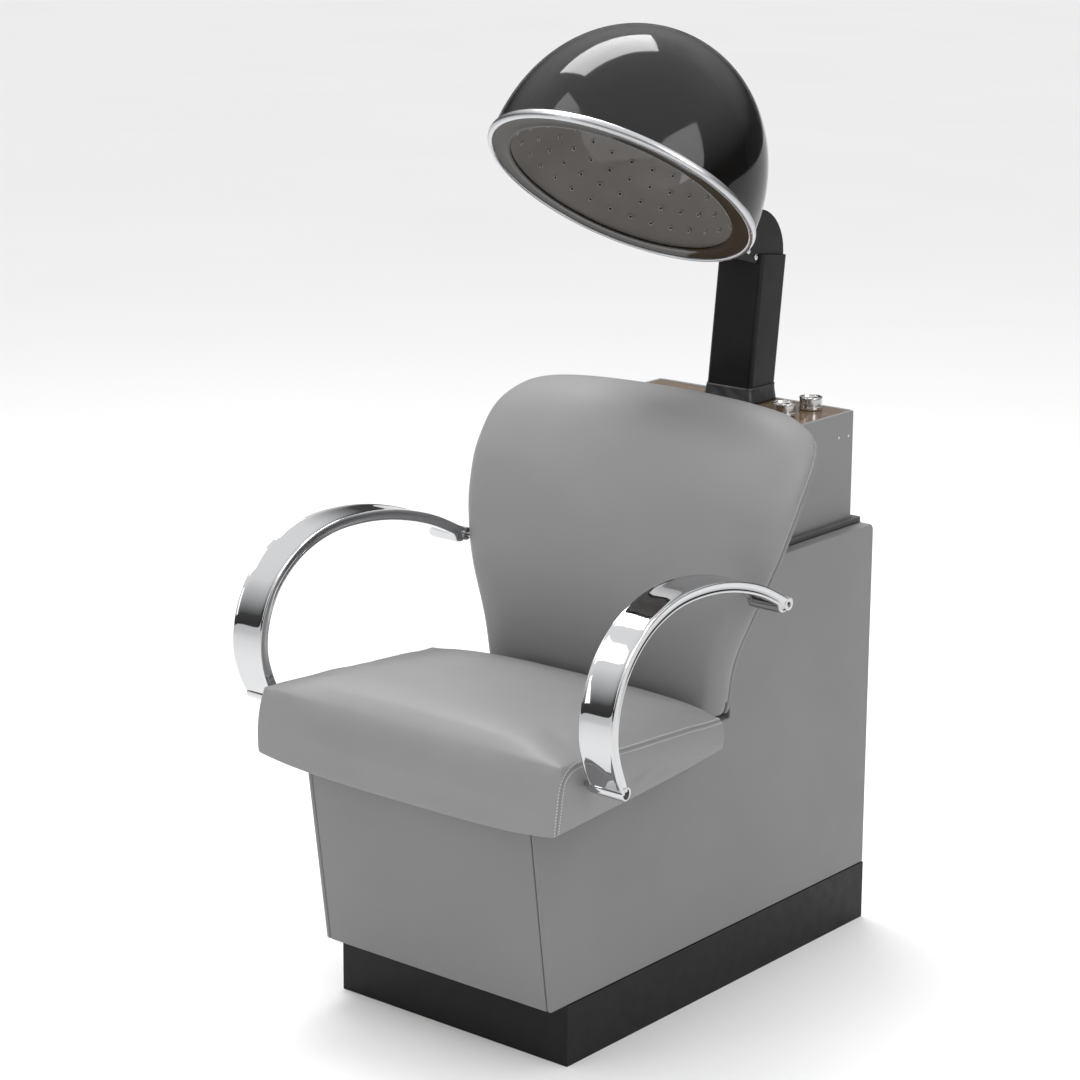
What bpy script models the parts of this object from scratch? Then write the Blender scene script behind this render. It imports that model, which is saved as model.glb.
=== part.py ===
"""Hood hair dryer on a box chair: an upholstered salon seat whose cabinet holds the blower.

Metres, +Z up, seat facing -Y, origin on the floor at the middle of the footprint.
The cabinet, seat and arms are fixed. The inner duct telescopes along the leaning outer duct,
the hood tilts on its two hinge screws, both knobs turn and the blower wheel spins.
"""
import math
import bmesh
import bpy
from mathutils import Matrix, Vector

# ---------------------------------------------------------------- driving dimensions
GAP = 0.0003                      # clearance between touching pieces

PLINTH_HEIGHT = 0.088
PLINTH_HALF_WIDTH = 0.205
PLINTH_FRONT = -0.305
PLINTH_BOARD = 0.018

CABINET_HALF_WIDTH = 0.2045
CABINET_REAR = 0.4104
CABINET_FOOT = -0.339             # front face at the plinth's top
FRONT_RAKE = 0.1408               # forward run of the front panel for each unit of height
SIDE_THICKNESS = 0.021
BOARD = 0.012
SIDE_TOP = 0.617
DECK_TOP = 0.350
RISER = ((0.0550, 0.350), (0.0550, 0.560), (0.0810, 0.617))   # step behind the backrest, (y, z)
SIDE_STEP = ((0.0550, 0.404), (0.0000, 0.404), (0.0000, 0.3665))   # side panel's edge under the back

BOX_HALF_WIDTH = 0.1775           # blower box that rises behind the backrest
BOX_FRONT = 0.195
BOX_REAR = 0.3893
BOX_TOP = 0.7873
BOX_WALL = 0.0065
SHELF_TOP = 0.547

SEAT_FRONT = -0.4128
SEAT_REAR = -0.010
SEAT_HALF_WIDTH = 0.271

ARM_INNER = 0.280
ARM_OUTER = 0.335
ARM_THICKNESS = 0.0165
ARM_FRONT_BOLT = (-0.3515, 0.430)   # (y, z)
ARM_REAR_BOLT = (0.0320, 0.5959)
ARM_TOE_IN = 0.050                # how far the arms close in for each unit of depth

DUCT_LEAN = math.atan(0.1222)
DUCT_TOP = Vector((0.0, 0.3762, 1.0037))    # middle of the outer duct's upper end
DUCT_HALF = (0.040, 0.0335)
DUCT_LENGTH = 0.300
DUCT_CORNER = 0.008
SHEET = 0.0012

PIVOT = (0.3354, 1.0044)          # hood hinge, (y, z)
NECK_RADIUS = 0.0705
NECK_HALF_WIDTH = 0.0340

HOOD_CENTRE = Vector((0.0, 0.0506, 1.1285))
HOOD_TILT = math.radians(36.48)
RIM_RADIUS = 0.2005
RIM_HEIGHT = 0.0127
DOME_RADIUS = 0.1965
DOME_HEIGHT = 0.229
BONNET_RADIUS = 0.172
BONNET_HEIGHT = 0.203

TIMER_AT = (0.1235, 0.356)
HEAT_AT = (0.1180, 0.296)
KNOB_RADIUS = 0.017
KNOB_HEIGHT = 0.019

BLOWER_AT = (0.318, 0.615)        # blower axis, (y, z)
DRUM_RADIUS = 0.060
DRUM_HALF_WIDTH = 0.035

YZ_PLANE = Matrix(((0, 0, 1, 0), (1, 0, 0, 0), (0, 1, 0, 0), (0, 0, 0, 1)))
DUCT_FRAME = Matrix.Translation(DUCT_TOP) @ Matrix.Rotation(-DUCT_LEAN, 4, "X")
HOOD_FRAME = Matrix.Translation(HOOD_CENTRE) @ Matrix.Rotation(-HOOD_TILT, 4, "X")

# ---------------------------------------------------------------- scene and helpers
for old in list(bpy.data.objects):
    bpy.data.objects.remove(old, do_unlink=True)

PARTS = bpy.data.collections.new("hood_hair_dryer")
CUTTERS = bpy.data.collections.new("cutters")
bpy.context.scene.collection.children.link(PARTS)
bpy.context.scene.collection.children.link(CUTTERS)


def paint(name, colour, roughness, metallic=0.0):
    material = bpy.data.materials.new(name)
    material.use_nodes = True
    shader = material.node_tree.nodes["Principled BSDF"]
    shader.inputs["Base Color"].default_value = (*colour, 1.0)
    shader.inputs["Roughness"].default_value = roughness
    shader.inputs["Metallic"].default_value = metallic
    return material


VINYL = paint("grey_vinyl", (0.27, 0.27, 0.275), 0.5)
CUSHION = paint("cushion_vinyl", (0.30, 0.30, 0.305), 0.45)
WELT = paint("welt_vinyl", (0.06, 0.06, 0.062), 0.6)
LAMINATE = paint("black_laminate", (0.01, 0.01, 0.012), 0.4)
WOOD = paint("plywood", (0.45, 0.32, 0.19), 0.7)
CHROME = paint("chrome", (0.85, 0.85, 0.86), 0.05, 1.0)
STEEL = paint("zinc_steel", (0.5, 0.5, 0.5), 0.35, 1.0)
DUCT_BLACK = paint("satin_black_sheet", (0.015, 0.015, 0.016), 0.35)
SMOKE = paint("smoked_plastic", (0.05, 0.04, 0.035), 0.08)
ALUMINIUM = paint("satin_aluminium", (0.7, 0.7, 0.71), 0.25, 1.0)
BROWN = paint("brown_laminate", (0.25, 0.17, 0.10), 0.2)
RUBBER = paint("black_rubber", (0.02, 0.02, 0.02), 0.6)
NYLON = paint("white_nylon", (0.75, 0.75, 0.72), 0.5)
WIRE = paint("heating_wire", (0.35, 0.30, 0.25), 0.4, 1.0)
MICA = paint("mica_board", (0.55, 0.50, 0.40), 0.6)
FELT = paint("filter_foam", (0.08, 0.08, 0.09), 0.9)


def keep(obj, name, material=None):
    """Name an object, file it with the parts, or with the cutters when it has no material."""
    obj.name = name
    obj.data.name = name
    for owner in list(obj.users_collection):
        owner.objects.unlink(obj)
    if material is None:
        CUTTERS.objects.link(obj)
        obj.hide_render = True
        obj.display_type = "WIRE"
        return obj
    PARTS.objects.link(obj)
    obj.data.materials.append(material)
    return obj


def smooth(obj, angle=35.0):
    obj.data.shade_smooth()
    obj.data.set_sharp_from_angle(angle=math.radians(angle))
    return obj


def boolean(obj, other, operation="DIFFERENCE"):
    modifier = obj.modifiers.new(other.name, "BOOLEAN")
    modifier.operation = operation
    modifier.object = other
    return obj


def box(name, low, high, material=None, frame=None):
    """A board or block between two corners, given in a frame of its own where one is passed."""
    low, high = Vector(low), Vector(high)
    bpy.ops.mesh.primitive_cube_add(size=1.0)
    obj = bpy.context.object
    obj.data.transform(Matrix.Diagonal((*(high - low), 1.0)))
    obj.matrix_world = (frame or Matrix.Identity(4)) @ Matrix.Translation((low + high) / 2)
    return keep(obj, name, material)


def rod(name, radius, start, end, material=None, sides=32):
    """A cylinder between two points."""
    start, end = Vector(start), Vector(end)
    bpy.ops.mesh.primitive_cylinder_add(vertices=sides, radius=radius, depth=(end - start).length)
    obj = bpy.context.object
    turn = (end - start).to_track_quat("Z", "Y").to_matrix().to_4x4()
    obj.matrix_world = Matrix.Translation((start + end) / 2) @ turn
    return smooth(keep(obj, name, material))


def turned(name, profile, frame, material=None, steps=40):
    """A turned piece: a profile of (radius, height) points spun about the frame's Z axis."""
    mesh = bpy.data.meshes.new(name)
    links = [(i, i + 1) for i in range(len(profile) - 1)]
    if profile[0][0] > 0.0:
        links.append((len(profile) - 1, 0))
    mesh.from_pydata([(radius, 0.0, height) for radius, height in profile], links, [])
    obj = bpy.data.objects.new(name, mesh)
    PARTS.objects.link(obj)
    screw = obj.modifiers.new("turned", "SCREW")
    screw.steps = steps
    screw.render_steps = steps
    screw.use_merge_vertices = True
    screw.merge_threshold = 0.00005
    screw.use_smooth_shade = True
    obj.matrix_world = frame
    return keep(obj, name, material)


def solid(obj, merge=0.00001):
    """Turn a curve object into a mesh object with welded caps, so that it can be cut."""
    bpy.context.view_layer.update()
    evaluated = obj.evaluated_get(bpy.context.evaluated_depsgraph_get())
    mesh = bpy.data.meshes.new_from_object(evaluated)
    bm = bmesh.new()
    bm.from_mesh(mesh)
    bmesh.ops.remove_doubles(bm, verts=bm.verts, dist=merge)
    bmesh.ops.recalc_face_normals(bm, faces=bm.faces)
    bm.to_mesh(mesh)
    bm.free()
    result = bpy.data.objects.new(obj.name, mesh)
    result.matrix_world = obj.matrix_world.copy()
    PARTS.objects.link(result)
    bpy.data.objects.remove(obj, do_unlink=True)
    return result


def plate(name, outlines, thickness, frame, material=None):
    """A flat piece: closed outlines in the frame's XY plane, inner ones cut as holes."""
    curve = bpy.data.curves.new(name, "CURVE")
    curve.dimensions = "2D"
    curve.fill_mode = "BOTH"
    curve.extrude = thickness / 2
    for outline in outlines:
        spline = curve.splines.new("POLY")
        spline.points.add(len(outline) - 1)
        for point, (x, y) in zip(spline.points, outline):
            point.co = (x, y, 0.0, 1.0)
        spline.use_cyclic_u = True
    obj = bpy.data.objects.new(name, curve)
    PARTS.objects.link(obj)
    obj.matrix_world = frame
    return smooth(keep(solid(obj), name, material))


def side_plate(name, outline, x0, x1, material=None):
    """A plate whose outline is given in (y, z) and which spans x0 to x1."""
    middle = Matrix.Translation(((x0 + x1) / 2, 0, 0))
    return plate(name, [outline], abs(x1 - x0), middle @ YZ_PLANE, material)


def arc(centre, radius, start, end, count):
    """Points on a circle from one angle to another, in degrees."""
    angles = [math.radians(start + (end - start) * i / count) for i in range(count + 1)]
    return [(centre[0] + radius * math.cos(a), centre[1] + radius * math.sin(a)) for a in angles]


def rounded_rectangle(half_x, half_y, radius, count=5):
    corners = ((1, 1, 0), (-1, 1, 90), (-1, -1, 180), (1, -1, 270))
    points = []
    for sx, sy, start in corners:
        centre = (sx * (half_x - radius), sy * (half_y - radius))
        points += arc(centre, radius, start, start + 90, count)
    return points


def cage(name, cuts, place, material):
    """A soft form: a cube's grid moved by place(u, v, w), each from -1 to 1, then subdivided."""
    bm = bmesh.new()
    bmesh.ops.create_cube(bm, size=2.0)
    for axis, count in enumerate(cuts):
        along = [e for e in bm.edges if abs((e.verts[0].co - e.verts[1].co)[axis]) > 1.0]
        bmesh.ops.subdivide_edges(bm, edges=along, cuts=count, use_grid_fill=True)
    for vertex in bm.verts:
        vertex.co = place(*vertex.co)
    if bm.calc_volume(signed=True) < 0.0:
        bmesh.ops.reverse_faces(bm, faces=bm.faces)
    mesh = bpy.data.meshes.new(name)
    bm.to_mesh(mesh)
    bm.free()
    obj = bpy.data.objects.new(name, mesh)
    PARTS.objects.link(obj)
    mesh.shade_smooth()
    subdivision = obj.modifiers.new("soft", "SUBSURF")
    subdivision.levels = 1
    subdivision.render_levels = 1
    return keep(obj, name, material)


def blend_rows(rows, value):
    """Linear interpolation in rows of (key, value, ...), sorted by key."""
    for lower, upper in zip(rows, rows[1:]):
        if value <= upper[0]:
            t = (value - lower[0]) / (upper[0] - lower[0])
            return [a + (b - a) * t for a, b in zip(lower[1:], upper[1:])]
    return list(rows[-1][1:])


def mix(a, b, t):
    return a + (b - a) * t


def hinge_empty(name, location):
    empty = bpy.data.objects.new(name, None)
    empty.location = location
    PARTS.objects.link(empty)
    bpy.context.view_layer.update()
    return empty


def hang(empty, *objects):
    """Parent moving pieces to the empty on their joint's axis, leaving them where they are."""
    for obj in objects:
        world = obj.matrix_world.copy()
        obj.parent = empty
        obj.matrix_parent_inverse = empty.matrix_world.inverted()
        obj.matrix_world = world


# ---------------------------------------------------------------- cabinet
def front_at(z):
    return CABINET_FOOT - FRONT_RAKE * (z - PLINTH_HEIGHT)


def build_plinth():
    half, rear = PLINTH_HALF_WIDTH, CABINET_REAR
    outer = [(-half, PLINTH_FRONT), (half, PLINTH_FRONT), (half, rear), (-half, rear)]
    t = PLINTH_BOARD
    inner = [(-half + t, PLINTH_FRONT + t), (half - t, PLINTH_FRONT + t),
             (half - t, rear - t), (-half + t, rear - t)]
    plate("plinth", [outer, inner], PLINTH_HEIGHT, Matrix.Translation((0, 0, PLINTH_HEIGHT / 2)), LAMINATE)


def build_side_panels():
    foot = PLINTH_HEIGHT + GAP
    corner = 0.010
    outline = [(front_at(foot), foot), (CABINET_REAR, foot)]
    outline += arc((CABINET_REAR - corner, SIDE_TOP - corner), corner, 0, 90, 5)
    outline += [*reversed(RISER[1:]), *SIDE_STEP, (front_at(DECK_TOP), DECK_TOP)]
    rebate = [(front_at(z) + dy, z) for z, dy in ((0.06, -0.02), (0.06, BOARD + GAP),
                                                  (0.40, BOARD + GAP), (0.40, -0.02))]
    housing = side_plate("front_panel_housing", rebate, -0.1968, 0.1968)
    for side, sign in (("left", -1), ("right", 1)):
        inner, outer = CABINET_HALF_WIDTH - SIDE_THICKNESS, CABINET_HALF_WIDTH
        panel = side_plate(f"side_panel_{side}", outline, sign * inner, sign * outer, VINYL)
        boolean(panel, housing)


def build_front_panel():
    foot = PLINTH_HEIGHT + GAP
    outline = [(front_at(z) + dy, z) for z, dy in ((foot, 0), (foot, BOARD), (DECK_TOP, BOARD), (DECK_TOP, 0))]
    side_plate("front_panel", outline, -0.1962, 0.1962, VINYL)


def build_cabinet_boards():
    inside = CABINET_HALF_WIDTH - SIDE_THICKNESS - GAP
    foot = PLINTH_HEIGHT + GAP
    base_top = foot + 0.015
    base_front = front_at(foot) + BOARD + 0.004
    box("base_board", (-inside, base_front, foot), (inside, CABINET_REAR - BOARD - GAP, base_top), WOOD)
    deck_front = front_at(DECK_TOP) + BOARD + 0.001
    riser_foot, riser_head = RISER[0][0], RISER[-1][0] + BOARD
    box("seat_deck", (-inside, deck_front + 0.003, DECK_TOP - BOARD), (inside, riser_foot - GAP, DECK_TOP), WOOD)
    riser = [(riser_foot, DECK_TOP - BOARD), *RISER[1:], *[(y + BOARD, z) for y, z in reversed(RISER[1:])],
             (riser_foot + BOARD, DECK_TOP - BOARD)]
    side_plate("riser_panel", riser, -inside, inside, VINYL)
    shelf = box("blower_shelf", (-inside, riser_foot + BOARD + 0.002, SHELF_TOP - BOARD),
                (inside, CABINET_REAR - BOARD - GAP, SHELF_TOP), WOOD)
    boolean(shelf, rod("shelf_air_hole", 0.050, (-0.09, 0.29, 0.5), (-0.09, 0.29, 0.6)))
    box("top_ledge", (-inside, riser_head + GAP, SIDE_TOP - BOARD),
        (inside, BOX_FRONT - GAP, SIDE_TOP), VINYL)
    rear = box("rear_panel", (-inside, CABINET_REAR - BOARD, base_top + GAP),
               (inside, CABINET_REAR, SIDE_TOP), VINYL)
    boolean(rear, box("intake_hole", (-0.075, 0.38, 0.390), (0.075, 0.43, 0.490)))
    boolean(rear, box("inlet_hole", (-0.0145, 0.38, 0.190), (0.0145, 0.43, 0.211)))


def build_blower_box():
    foot = SHELF_TOP + GAP
    half, t = BOX_HALF_WIDTH, BOX_WALL
    box("box_wall_left", (-half, BOX_FRONT, foot), (-half + t, BOX_REAR, BOX_TOP), VINYL)
    box("box_wall_right", (half - t, BOX_FRONT, foot), (half, BOX_REAR, BOX_TOP), VINYL)
    reach = half - t - GAP
    box("box_wall_front", (-reach, BOX_FRONT, foot), (reach, BOX_FRONT + t, BOX_TOP), VINYL)
    rear = box("box_wall_rear", (-reach, BOX_REAR - t, foot), (reach, BOX_REAR, BOX_TOP), VINYL)
    boolean(rear, duct_envelope("rear_wall_duct_notch"))
    rise = 0.0092
    a, b, c, d = 0.1778, 0.1868, 0.3896, 0.4020
    gimp = [(-b, 0.20), (-b, d), (b, d), (b, 0.20), (a, 0.20), (a, c), (-a, c), (-a, 0.20)]
    plate("gimp_trim", [gimp], rise, Matrix.Translation((0, 0, SIDE_TOP + GAP + rise / 2)), WELT)


def duct_envelope(name, clearance=0.0004):
    outline = rounded_rectangle(DUCT_HALF[0] + clearance, DUCT_HALF[1] + clearance, DUCT_CORNER + clearance)
    middle = Matrix.Translation((0, 0, -DUCT_LENGTH / 2))
    return plate(name, [outline], DUCT_LENGTH + 0.02, DUCT_FRAME @ middle)


def build_control_plate():
    inset = BOX_WALL + GAP
    low = (-BOX_HALF_WIDTH + inset, BOX_FRONT + inset, BOX_TOP - 0.0028)
    high = (BOX_HALF_WIDTH - inset, BOX_REAR - inset, BOX_TOP - 0.0008)
    panel = box("control_plate", low, high, BROWN)
    boolean(panel, duct_envelope("plate_duct_hole"))
    for label, (x, y) in (("timer", TIMER_AT), ("heat", HEAT_AT)):
        boolean(panel, rod(f"{label}_stem_hole", 0.0046, (x, y, 0.77), (x, y, 0.80)))


# ---------------------------------------------------------------- seat and back
def seat_point(u, v, w):
    """The seat cushion: crowned top, sides that pull in a little, front edge over the rail."""
    across, along = math.sin(u * math.pi / 2), math.sin(v * math.pi / 2)
    back = (along + 1) / 2
    rise = (math.sin(w * math.pi / 2) + 1) / 2
    bottom = 0.3560 + 0.012 * across ** 4 + 0.022 * back * across ** 2
    edge = mix(0.464, 0.440, back)
    crown = mix(0.032, 0.006, back) * (1 - across ** 4) * (1 - max(0.0, -along) ** 6)
    bulge = 1 - 0.020 * (2 * rise - 1) ** 2
    y = mix(SEAT_FRONT + 0.014 * rise ** 2, SEAT_REAR - 0.030 * across ** 4, back)
    return Vector((SEAT_HALF_WIDTH * across * bulge, y, mix(bottom, edge + crown, rise)))


BACK_ROWS = (                     # height, half width and setback of the backrest's seam line
    (0.412, 0.209, 0.0390), (0.490, 0.220, 0.0370), (0.565, 0.252, 0.0400), (0.640, 0.277, 0.0600),
    (0.708, 0.288, 0.0860), (0.770, 0.289, 0.1270), (0.805, 0.246, 0.1880))


BACK_CROWN = 0.008                # how far the middle of the top edge stands above its corners


def back_frame(u, v):
    """The seam surface at (u, v): a point, the direction that faces the sitter, and x as -1..1."""
    index = (v + 1) / 2 * (len(BACK_ROWS) - 1)
    keyed = [(i, *row) for i, row in enumerate(BACK_ROWS)]
    height, half, setback = blend_rows(keyed, index)
    below = blend_rows(keyed, max(0.0, index - 0.5))
    above = blend_rows(keyed, min(len(BACK_ROWS) - 1.0, index + 0.5))
    facing = Vector((0.0, below[0] - above[0], above[2] - below[2])).normalized()
    across = math.sin(u * math.pi / 2)
    crown = BACK_CROWN * (1 - across ** 2) * max(0.0, v) ** 4
    return Vector((half * across, setback, height + crown)), facing, across


def back_point(u, v, w):
    seam, facing, across = back_frame(u, v)
    front = (1 - w) / 2
    depth = mix(0.034, 0.018, max(0.0, v) ** 2) + 0.028 * (1 - across ** 4) * (1 - v ** 4)
    pull = 1 - 0.085 * front ** 2 * abs(across) ** 3
    return Vector((seam.x * pull, seam.y, seam.z)) + facing * depth * front


def shell_point(u, v, w):
    seam, facing, _ = back_frame(u, v)
    return seam - facing * mix(0.0012, 0.0110, (w + 1) / 2)


def build_seat():
    cushion = cage("seat_cushion", (5, 5, 3), seat_point, CUSHION)
    low, high = (-0.222, -0.380, 0.369), (0.222, -0.050, 0.440)
    room = GAP
    boolean(cushion, box("seat_frame_room", (low[0] - room, low[1] - room, 0.30),
                         (high[0] + room, high[1] + room, high[2] + room)))
    frame = box("seat_frame", low, high, WOOD)
    rail = 0.045
    boolean(frame, box("seat_frame_middle", (low[0] + rail, low[1] + rail, 0.30),
                       (high[0] - rail, high[1] - rail, 0.50)))
    return cushion, frame


def build_back():
    cushion = cage("back_cushion", (5, 5, 2), back_point, CUSHION)
    cage("back_shell", (5, 5, 1), shell_point, VINYL)
    blocks = []
    y, z = ARM_REAR_BOLT
    for side, sign in (("left", -1), ("right", 1)):
        low = (min(sign * 0.210, sign * 0.238), y - 0.0075, z - 0.022)
        high = (max(sign * 0.210, sign * 0.238), y + 0.0075, z + 0.022)
        boolean(cushion, box(f"back_block_room_{side}", [c - GAP for c in low],
                             (high[0] + GAP, high[1] + 0.03, high[2] + GAP)))
        blocks.append(box(f"back_block_{side}", low, high, WOOD))
    return cushion, blocks


# ---------------------------------------------------------------- arms
ARM_LINE = (                      # outer face of the flat bar, (y, z), front bolt to rear bolt
    (-0.3580, 0.4277), (-0.3742, 0.4586), (-0.3853, 0.5027), (-0.3791, 0.5526), (-0.3545, 0.6009),
    (-0.3088, 0.6404), (-0.2488, 0.6629), (-0.1834, 0.6675), (-0.1117, 0.6593), (-0.0364, 0.6374),
    (0.0353, 0.6023))
ARM_HEEL = ((0.0150, 0.5965), (0.0205, 0.5845), (0.0330, 0.5840))   # where the rear end thickens
ARM_BOSS_RADIUS = 0.0098
ARM_SCREWS = (                    # end, x of the boss's inner end, x of the screw's tip
    ("front", 0.2745, 0.190), ("rear", 0.2606, 0.216))
SCREW_RADIUS, SCREW_HOLE_RADIUS = 0.0040, 0.0044
HEAD_RADIUS, HEAD_RECESS_RADIUS, HEX_RADIUS = 0.0060, 0.0064, 0.0030
HEAD_TOP, HEX_FLOOR, HEAD_BASE = 0.0020, 0.0060, 0.0100   # depths below the boss's outer end


def smooth_line(points, per_span):
    """A Catmull-Rom line through the points."""
    ends = [Vector(p) for p in points]
    ends = [2 * ends[0] - ends[1], *ends, 2 * ends[-1] - ends[-2]]
    line = []
    for a, b, c, d in zip(ends, ends[1:], ends[2:], ends[3:]):
        for i in range(per_span):
            t = i / per_span
            line.append(0.5 * (2 * b + (c - a) * t + (2 * a - 5 * b + 4 * c - d) * t * t
                               + (3 * b - a - 3 * c + d) * t ** 3))
    return [*line, ends[-2]]


def arm_outline():
    line = smooth_line(ARM_LINE, 3)
    outer, inner = [], []
    for before, here, after in zip([line[0], *line], line, [*line[1:], line[-1]]):
        along = (after - before).normalized()
        outer.append(tuple(here))
        under = here - Vector((-along.y, along.x)) * ARM_THICKNESS
        if under.x < ARM_HEEL[0][0] - 0.008:
            inner.append(tuple(under))
    return [*outer, *ARM_HEEL[::-1], *inner[::-1]]


def arm_side(sign, y, x=ARM_OUTER):
    """The x of an arm's side face at a depth y, given what it is at the front bolt."""
    return sign * (x - ARM_TOE_IN * (y - ARM_FRONT_BOLT[0]))


def build_arms(cushion, frame, back, blocks):
    outline = arm_outline()
    for index, (side, sign) in enumerate((("left", -1), ("right", 1))):
        arm = side_plate(f"arm_{side}", outline, sign * ARM_INNER, sign * ARM_OUTER, CHROME)
        toe_in = Matrix.Identity(4)
        toe_in[2][0] = -sign * ARM_TOE_IN
        toe_in[2][3] = sign * ARM_TOE_IN * ARM_FRONT_BOLT[0]
        arm.data.transform(toe_in)
        places = ((ARM_FRONT_BOLT, frame, cushion), (ARM_REAR_BOLT, blocks[index], back))
        for (end, boss_x, tip_x), ((y, z), wood, host) in zip(ARM_SCREWS, places):
            tag = f"{end}_{side}"
            outside = arm_side(sign, y)
            beyond = outside + sign * 0.015
            tip = sign * tip_x
            boss = rod(f"arm_boss_{tag}", ARM_BOSS_RADIUS, (sign * boss_x, y, z), (outside, y, z), None, 24)
            boolean(arm, boss, "UNION")
            hole = rod(f"bolt_hole_{tag}", SCREW_HOLE_RADIUS, (tip - sign * 0.001, y, z), (beyond, y, z),
                       None, 16)
            recess = rod(f"bolt_recess_{tag}", HEAD_RECESS_RADIUS,
                         (outside - sign * (HEAD_BASE + GAP), y, z), (beyond, y, z), None, 20)
            for piece in (arm, wood, host):
                boolean(piece, hole)
            boolean(arm, recess)
            bolt = rod(f"arm_bolt_{tag}", SCREW_RADIUS, (tip, y, z), (outside - sign * 0.009, y, z), STEEL, 16)
            head = rod(f"bolt_head_{tag}", HEAD_RADIUS, (outside - sign * HEAD_BASE, y, z),
                       (outside - sign * HEAD_TOP, y, z), None, 20)
            socket = rod(f"bolt_socket_{tag}", HEX_RADIUS, (outside - sign * HEX_FLOOR, y, z),
                         (beyond, y, z), None, 6)
            boolean(bolt, head, "UNION")
            boolean(bolt, socket)


# ---------------------------------------------------------------- duct
def duct_tube(name, half_x, half_y, corner, top, bottom, material):
    outer = rounded_rectangle(half_x, half_y, corner)
    inner = rounded_rectangle(half_x - SHEET, half_y - SHEET, corner - SHEET)
    middle = Matrix.Translation((0, 0, (top + bottom) / 2))
    return plate(name, [outer, inner], top - bottom, DUCT_FRAME @ middle, material)


def build_outer_duct():
    duct = duct_tube("outer_duct", *DUCT_HALF, DUCT_CORNER, 0.0, -DUCT_LENGTH, DUCT_BLACK)
    notch = box("duct_front_notch", (-0.045, -0.045, -0.0135), (0.0344, -0.0265, 0.01), None, DUCT_FRAME)
    boolean(duct, notch)
    screw_height = -0.062
    hole = rod("lock_screw_hole", 0.0023, (0, 0, 0), (0, 0, 0.02), None, 16)
    hole.matrix_world = DUCT_FRAME @ Matrix.Translation((0, DUCT_HALF[1], screw_height)) \
        @ Matrix.Rotation(math.pi / 2, 4, "X")
    boolean(duct, hole)
    frame = DUCT_FRAME @ Matrix.Translation((0, DUCT_HALF[1], screw_height)) @ Matrix.Rotation(-math.pi / 2, 4, "X")
    profile = [(0.0, 0.0042), (0.0035, 0.0036), (0.0055, 0.0020), (0.0055, GAP),
               (0.0020, GAP), (0.0020, -SHEET), (0.0, -SHEET)]
    turned("height_lock_screw", profile, frame, STEEL, 24)


def build_boot():
    """The flared collar where the duct leaves the control plate: three rounded rings, hollow."""
    base = BOX_TOP + GAP
    bm = bmesh.new()
    rings = []
    levels = ((base, 0.0100), (base + 0.0030, 0.0096), (base + 0.0100, 0.0048), (base + 0.0230, 0.0028))
    for height, flare in (*levels, *[(z, 0.0006) for z, _ in reversed(levels)]):
        drop = (height - DUCT_TOP.z) / math.cos(DUCT_LEAN)
        centre = DUCT_FRAME @ Vector((0, 0, drop))
        ring = [bm.verts.new((x, centre.y + y, height))
                for x, y in rounded_rectangle(DUCT_HALF[0] + flare, DUCT_HALF[1] + 0.0003 + flare * 0.7,
                                              DUCT_CORNER + flare * 0.7)]
        rings.append(ring)
    for lower, upper in zip(rings, [*rings[1:], rings[0]]):
        for i, vertex in enumerate(lower):
            j = (i + 1) % len(lower)
            bm.faces.new((vertex, lower[j], upper[j], upper[i]))
    bmesh.ops.recalc_face_normals(bm, faces=bm.faces)
    mesh = bpy.data.meshes.new("duct_boot")
    bm.to_mesh(mesh)
    bm.free()
    obj = bpy.data.objects.new("duct_boot", mesh)
    PARTS.objects.link(obj)
    return smooth(keep(obj, "duct_boot", RUBBER))


def build_inner_duct():
    slack = SHEET + GAP
    half_x, half_y = DUCT_HALF[0] - slack, DUCT_HALF[1] - slack
    duct = duct_tube("inner_duct", half_x, half_y, DUCT_CORNER - slack, -0.002, -0.200, DUCT_BLACK)
    top_cut = box("inner_front_cut", (-0.0318, -0.040, -0.0125), (0.0318, -0.025, 0.01), None, DUCT_FRAME)
    boolean(duct, top_cut)
    y, z = PIVOT
    for side, sign in (("left", -1), ("right", 1)):
        slot = box(f"neck_slot_{side}", (min(sign * 0.0316, sign * 0.0352), -0.040, -0.055),
                   (max(sign * 0.0316, sign * 0.0352), -0.0235, 0.01), None, DUCT_FRAME)
        boolean(duct, slot)
        lug = side_plate(f"hinge_lug_{side}", lug_outline(half_y), sign * 0.0298, sign * 0.0314)
        boolean(duct, lug, "UNION")
        hole = rod(f"lug_hole_{side}", 0.0027, (sign * 0.028, y, z), (sign * 0.040, y, z), None, 20)
        boolean(duct, hole)
    return duct


def lug_outline(half_y):
    """A hinge lug: off the inner duct's front wall, over the outer duct's, to a round end on the pivot."""
    wall = -half_y + 0.0006
    foot = [tuple((DUCT_FRAME @ Vector((0, v, w))).yz)
            for v, w in ((wall, -0.0122), (wall, -0.0280), (wall + 0.0052, -0.0220), (wall + 0.0052, -0.0040))]
    return [*foot, *arc(PIVOT, 0.0065, 53, 263, 10)]


def build_hinge_screws():
    y, z = PIVOT
    screws = []
    for side, sign in (("left", -1), ("right", 1)):
        frame = Matrix.Translation((0, y, z)) @ Matrix.Rotation(sign * math.pi / 2, 4, "Y")
        profile = [(0.0, 0.0362), (0.0032, 0.0360), (0.0045, 0.0352), (0.0045, NECK_HALF_WIDTH + GAP),
                   (0.0024, NECK_HALF_WIDTH + GAP), (0.0024, 0.0286), (0.0, 0.0286)]
        screws.append(turned(f"hinge_screw_{side}", profile, frame, CHROME, 16))
    return screws


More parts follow.
